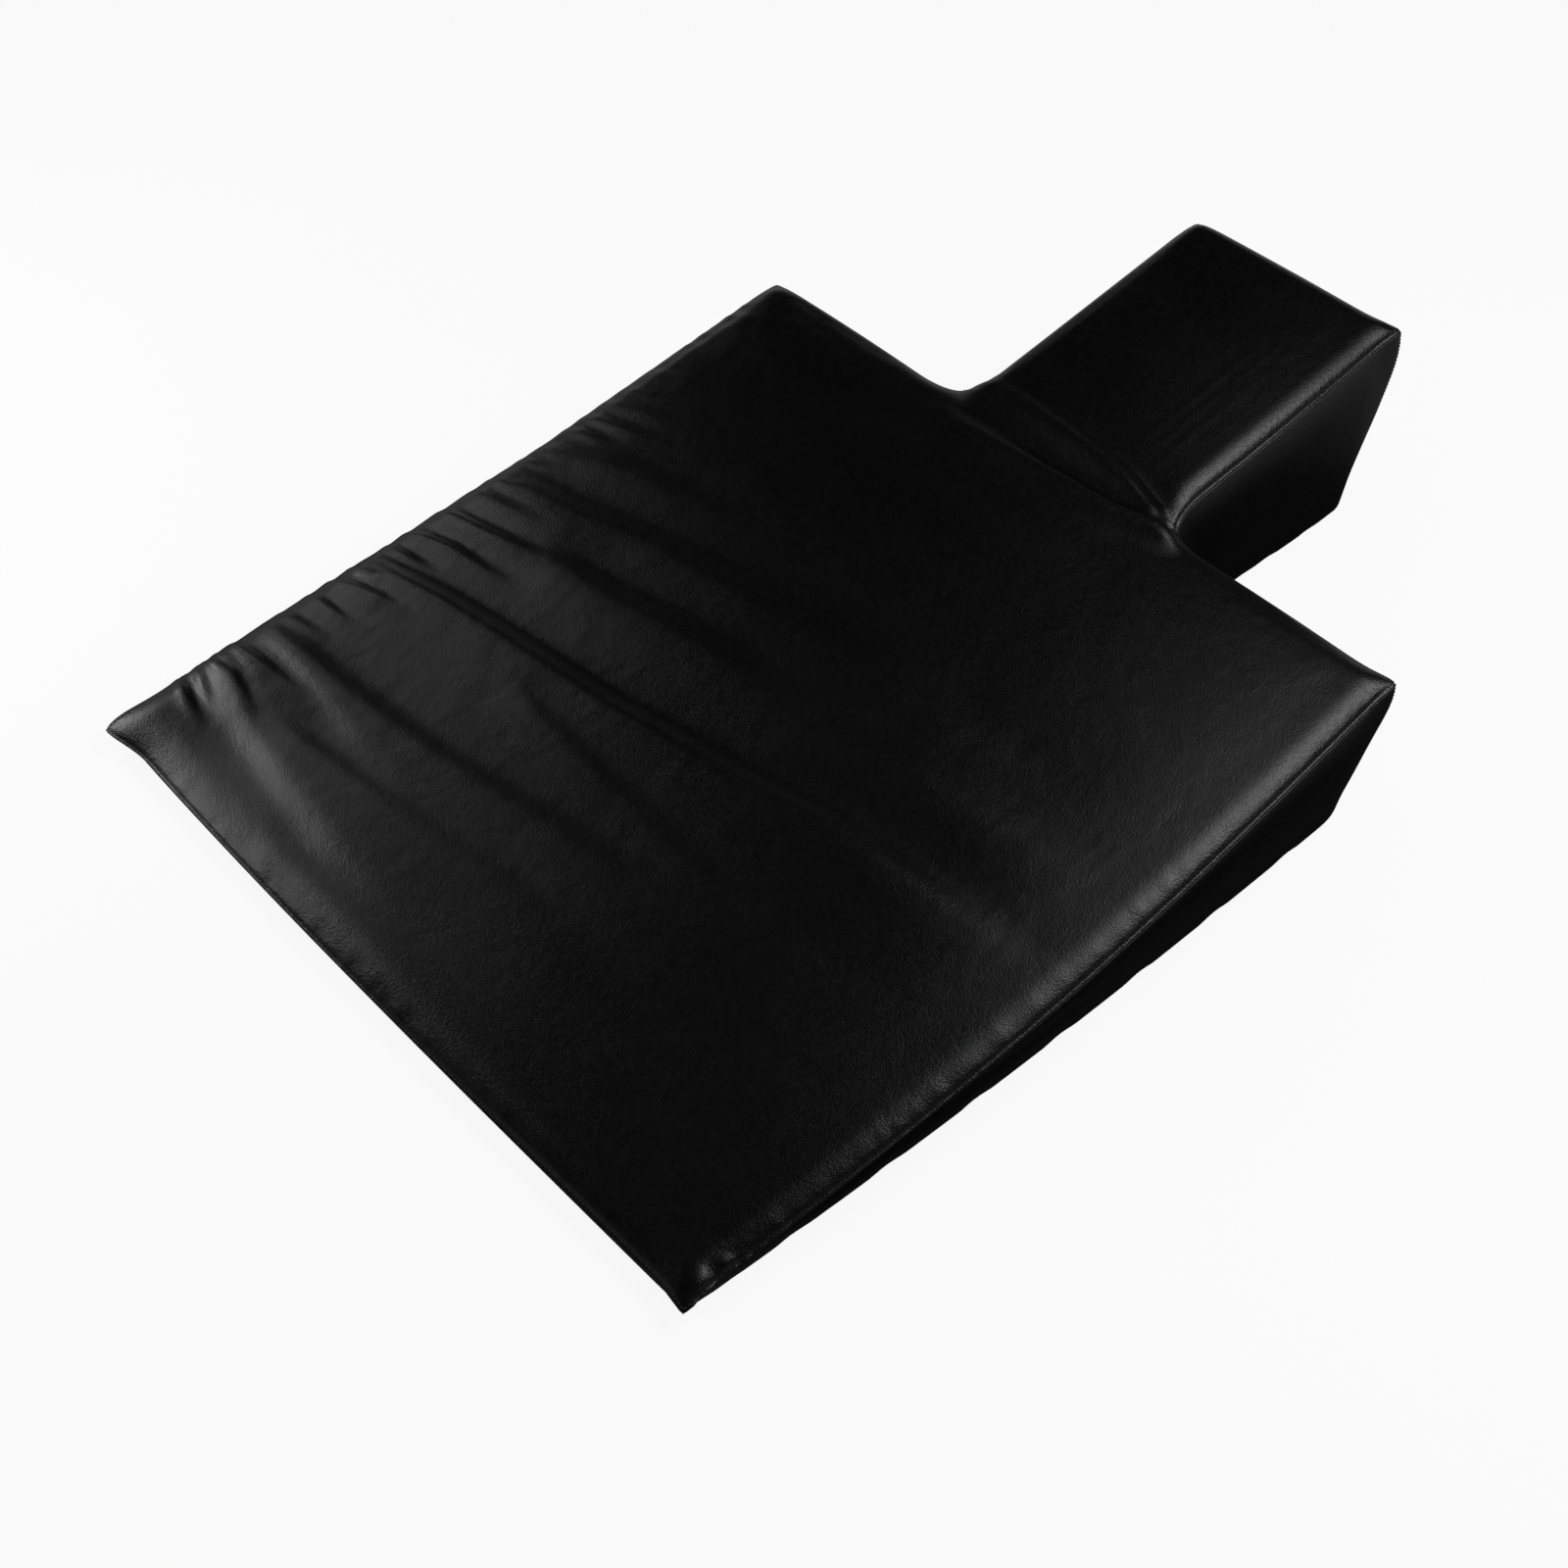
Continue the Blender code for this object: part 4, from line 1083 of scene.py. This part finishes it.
def sewLine(line, closed, leatherSurface, seed):
    rng = random.Random(seed)
    places = []
    faces = []
    for spot, along in evenly(line, closed, stitching["pitch"]):
        ground, up, _, _ = leatherSurface.find_nearest(spot)
        side = up.cross(along).normalized()
        along = side.cross(up).normalized()
        turn = rng.uniform(-stitching["turn"], stitching["turn"])
        ahead = along * math.cos(turn) + side * math.sin(turn)
        across = up.cross(ahead)
        start = len(places)
        for point in stitchShape:
            places.append(ground + ahead * point.x + across * point.y + up * (point.z + stitching["raised"]))
        faces += [[start + index for index in face] for face in stitchFaces]
    mesh = bpy.data.meshes.new("thread")
    mesh.from_pydata(places, [], faces)
    piece = bpy.data.objects.new("thread", mesh)
    bpy.context.scene.collection.objects.link(piece)
    pickUp(piece)
    bpy.ops.object.shade_smooth()
    return piece


stitchShape, stitchFaces = oneStitch()
for sign, level in ((1, "upper"), (-1, "lower")):
    node = "zip_stitch_" + level
    height = zipper["height"] + sign * zipper["stitchHeight"]
    seamLines[node] = [Vector((zipper["wall"], zipper[end], height)) for end in ("front", "rear")]
    skins[node] = ["left_side_panel"]
for seed, (node, names) in enumerate(skins.items()):
    closed = node in ("top_seam_thread", "base_seam_thread")
    thread = sewLine(seamLines[node], closed, surfaceOf([cut[name] for name in names]), seed)
    finishPiece(thread, joinWords(node), node, "thread")
print("threads sewn:", len(skins))


def zipTape(sign):
    # woven tape, wavy along its free edge
    clearSelection()
    length = zipper["rear"] - zipper["front"]
    middle = (zipper["rear"] + zipper["front"]) / 2
    wide = zipper["tapeEdge"] - zipper["tapeStart"]
    across, along = zipper["tapeCells"]
    bpy.ops.mesh.primitive_grid_add(x_subdivisions=across, y_subdivisions=along, size=1)
    piece = bpy.context.object
    bpy.ops.object.mode_set(mode="EDIT")
    bpy.ops.transform.resize(value=(wide, length, 1), center_override=(0, 0, 0))
    bpy.ops.transform.rotate(value=math.radians(90), orient_axis="Y", center_override=(0, 0, 0))
    height = zipper["height"] + sign * (zipper["tapeStart"] + wide / 2)
    bpy.ops.transform.translate(value=(zipper["middle"] + zipper["tapeBehind"], middle, height))
    leaveEdit()
    high, long = zipper["tapeWave"]
    for vert in piece.data.vertices:
        out = abs(vert.co.z - zipper["height"]) / zipper["tapeEdge"]
        vert.co.x += high * math.sin(vert.co.y * 2 * math.pi / long + sign) * out
    applyModifier(piece, "SOLIDIFY", thickness=zipper["tapeThick"], offset=0)
    faceOut(piece)
    bpy.ops.object.shade_smooth_by_angle(angle=softAngle)
    return piece


def zipCoil(sign):
    # one turn of nylon wire, drawn flat and leaning along the row, then repeated
    clearSelection()
    sides = zipper["coilSides"]
    turns = zipper["coilTurns"]
    start = (zipper["middle"] - zipper["coilDeep"], 0, 0)
    bpy.ops.mesh.primitive_circle_add(vertices=sides, radius=zipper["coilWire"], location=start)
    piece = bpy.context.object
    bpy.ops.object.transform_apply()
    editAll(piece)
    bpy.ops.mesh.spin(steps=turns, angle=2 * math.pi, center=(zipper["middle"], 0, 0), axis=(0, 1, 0))
    leaveEdit()
    stretch = zipper["coilHigh"] / zipper["coilDeep"]
    for vert in piece.data.vertices:
        share = vert.index // sides / turns
        vert.co.y += zipper["coilPitch"] * (share + (0.5 if sign < 0 else 0))
        vert.co.z = zipper["height"] + sign * zipper["rowMiddle"] + vert.co.z * stretch
    editAll(piece)
    bpy.ops.transform.translate(value=(0, zipper["front"] + zipper["rowStart"], 0))
    leaveEdit()
    count = int((zipper["rear"] - zipper["front"] - zipper["rowShort"]) / zipper["coilPitch"]) - 1
    applyModifier(
        piece, "ARRAY", count=count, use_merge_vertices=True, merge_threshold=weld,
        use_relative_offset=False, use_constant_offset=True,
        constant_offset_displace=(0, zipper["coilPitch"], 0),
    )
    faceOut(piece)
    # the two open ends of the wire are closed
    editAll(piece)
    bpy.ops.mesh.select_all(action="DESELECT")
    bpy.ops.mesh.select_mode(type="EDGE")
    bpy.ops.mesh.select_non_manifold()
    bpy.ops.mesh.edge_face_add()
    leaveEdit()
    bpy.ops.object.shade_smooth()
    return piece


for sign, level in ((1, "upper"), (-1, "lower")):
    finishPiece(zipTape(sign), "zipTape" + level.capitalize(), "zip_tape_" + level, "zip_tape")
    finishPiece(zipCoil(sign), "zipCoil" + level.capitalize(), "zip_teeth_" + level, "zip_coil")
for node in ("zip_slider", "zip_pull", "zip_top_stop_upper", "zip_top_stop_lower", "zip_bottom_stop"):
    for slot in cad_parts[node].material_slots:
        slot.material = finishes["zip_metal"]
print("zip made")

foamBlocks = dict(
    shrink={"foam_wedge_core": 0.0075, "foam_headrest_core": 0.0065},
    drawIn=0.016, reach=0.07, height=0.08,          # how its corners follow the leather's drawn-in feet
    wall=-0.2935, wallTop=0.055, floor=0.0008,      # it stays behind the left wall's foot and above the base
)
for node, amount in foamBlocks["shrink"].items():
    # the cut blocks inside, a little smaller than the leather that they fill
    clearSelection()
    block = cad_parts[node].copy()
    block.data = block.data.copy()
    block.parent = None
    for key in list(block.keys()):
        del block[key]
    bpy.context.scene.collection.objects.link(block)
    editAll(block)
    bpy.ops.mesh.remove_doubles(threshold=weld)
    bpy.ops.mesh.select_all(action="SELECT")
    bpy.ops.transform.shrink_fatten(value=-amount)
    leaveEdit()
    for vert in block.data.vertices:
        for name in corners:
            tip = Vector(plan[name]) + Vector((0, cover["lowEdge"]))
            near = max(1 - (vert.co.xy - tip).length / foamBlocks["reach"], 0)
            inward = Vector((-math.copysign(1, tip.x), -1 if plan[name][1] else 1, 0))
            vert.co += inward * foamBlocks["drawIn"] * near * max(1 - vert.co.z / foamBlocks["height"], 0)
        if vert.co.z < foamBlocks["wallTop"]:
            vert.co.x = max(vert.co.x, foamBlocks["wall"])
        vert.co.z = max(vert.co.z, foamBlocks["floor"])
    bpy.ops.object.shade_smooth_by_angle(angle=softAngle)
    finishPiece(block, node.split("_")[1] + "Foam", node, "foam")
print("foam placed")

# the photo's camera, with its lens in pixels of a picture 1600 wide
camera = dict(
    place=(0.8441, -0.8359, 1.1623), azimuth=48.218, elevation=46.79, roll=0.085, pixels=2390.6, image=1600,
)


def addCamera():
    data = bpy.data.cameras.new("camera")
    data.sensor_fit = "HORIZONTAL"
    data.sensor_width = 36
    data.lens = camera["pixels"] * data.sensor_width / camera["image"]
    data.clip_start = 0.01
    view = bpy.data.objects.new("camera", data)
    bpy.context.scene.collection.objects.link(view)
    tilt = Euler((math.radians(90 - camera["elevation"]), 0, math.radians(camera["azimuth"])))
    turned = tilt.to_matrix() @ Matrix.Rotation(math.radians(camera["roll"]), 3, "Z")
    view.matrix_world = Matrix.Translation(camera["place"]) @ turned.to_4x4()
    bpy.context.scene.camera = view


lamps = {
    # where it hangs, what it looks at, its size and its power
    "lowKey": ((-0.87, -0.66, 0.41), (-0.20, -0.28, 0.03), (0.36, 0.36), 2.6),
    "leftSide": ((-1.30, -0.18, 0.84), (-0.18, -0.20, 0.04), (0.50, 0.50), 1.5),
    "rightBack": ((0.69, 0.68, 1.16), (0.15, 0.00, 0.07), (0.50, 0.50), 3.4),
    "rightSide": ((0.88, 0.49, 1.16), (0.15, 0.00, 0.07), (0.50, 0.50), 3.4),
    "rightTop": ((0.33, 0.50, 1.32), (0.15, 0.00, 0.07), (0.50, 0.50), 2.2),
    "farBack": ((0.05, 0.62, 1.30), (0.20, 0.05, 0.08), (0.50, 0.50), 0.45),
}


def addLamps():
    for name, (place, target, size, power) in lamps.items():
        data = bpy.data.lights.new(name, "AREA")
        data.shape = "RECTANGLE"
        data.size, data.size_y = size
        data.energy = power
        lamp = bpy.data.objects.new(name, data)
        bpy.context.scene.collection.objects.link(lamp)
        lamp.location = place
        lamp.rotation_euler = (Vector(target) - Vector(place)).to_track_quat("-Z", "Y").to_euler()


stage = dict(
    size=9, low=0.0004, card=(0.80, 0.84), glow=0.9,
    # the floor as the wedge mirrors it, a painted reflection that glows, darker near the middle as painted
    # shade
    near=0.014, far=0.60, reach=((0.11, 0.0), (0.38, 1.0)), reachScale=0.25,
    light=0.30,
    sky=0.004, horizon=0.55, fade=((0.02, 1.0), (0.30, 0.0)),   # the air as the wedge mirrors it, a painted reflection: a dark sky over a bright horizon
)


def addFloor():
    clearSelection()
    bpy.ops.mesh.primitive_grid_add(
        x_subdivisions=8, y_subdivisions=8, size=stage["size"], location=(0, 0, -stage["low"]),
    )
    floor = bpy.context.object
    floor.name = floor.data.name = "paleFloor"
    bpy.ops.object.transform_apply()
    finish = Finish("pale floor")
    seen, glossy, through = finish.rays()
    card = finish.noise(finish.place(), 3.0)
    tone = finish.blend(card, *[(grey, grey, grey, 1) for grey in stage["card"]])
    matt = finish.add("ShaderNodeBsdfDiffuse", inputs={"Color": tone})
    white = finish.maths("MAXIMUM", seen, through)
    reach = finish.add("ShaderNodeVectorMath", {"operation": "LENGTH"}, {0: finish.place()}, "Value")
    far = finish.ramp(stage["reachScale"] * reach, *stage["reach"])
    # what the wedge mirrors of the floor is painted: a glow, darker near the middle as painted shade
    strength = white + glossy * (stage["near"] + stage["far"] * far)
    glow = finish.add("ShaderNodeEmission", inputs={"Color": (1, 1, 1, 1), "Strength": strength})
    mixed = finish.add("ShaderNodeMixShader", inputs={0: stage["glow"] * white + glossy, 1: matt, 2: glow})
    finish.add("ShaderNodeOutputMaterial", inputs={"Surface": mixed})
    floor.data.materials.append(finish.made)


def addAir():
    air = Finish("studio", "worlds")
    bpy.context.scene.world = air.made
    seen, glossy, through = air.rays()
    way = air.add("ShaderNodeTexCoord", output="Generated")
    up = air.add("ShaderNodeSeparateXYZ", inputs={0: way}, output="Z")
    horizon = air.ramp(up, *stage["fade"])
    strength = stage["light"] + (1 - stage["light"]) * air.maths("MAXIMUM", seen, through)
    # what the wedge mirrors of the air is painted: a dark sky over a bright horizon, not the even light that
    # the air gives
    strength = strength * (1 - glossy) + glossy * (stage["sky"] + stage["horizon"] * horizon)
    back = air.add("ShaderNodeBackground", inputs={"Color": (1, 1, 1, 1), "Strength": strength})
    air.add("ShaderNodeOutputWorld", inputs={"Surface": back})


addCamera()
addLamps()
addFloor()
addAir()
bpy.context.scene.view_settings.view_transform = "Standard"
print("camera, lamps and floor placed")
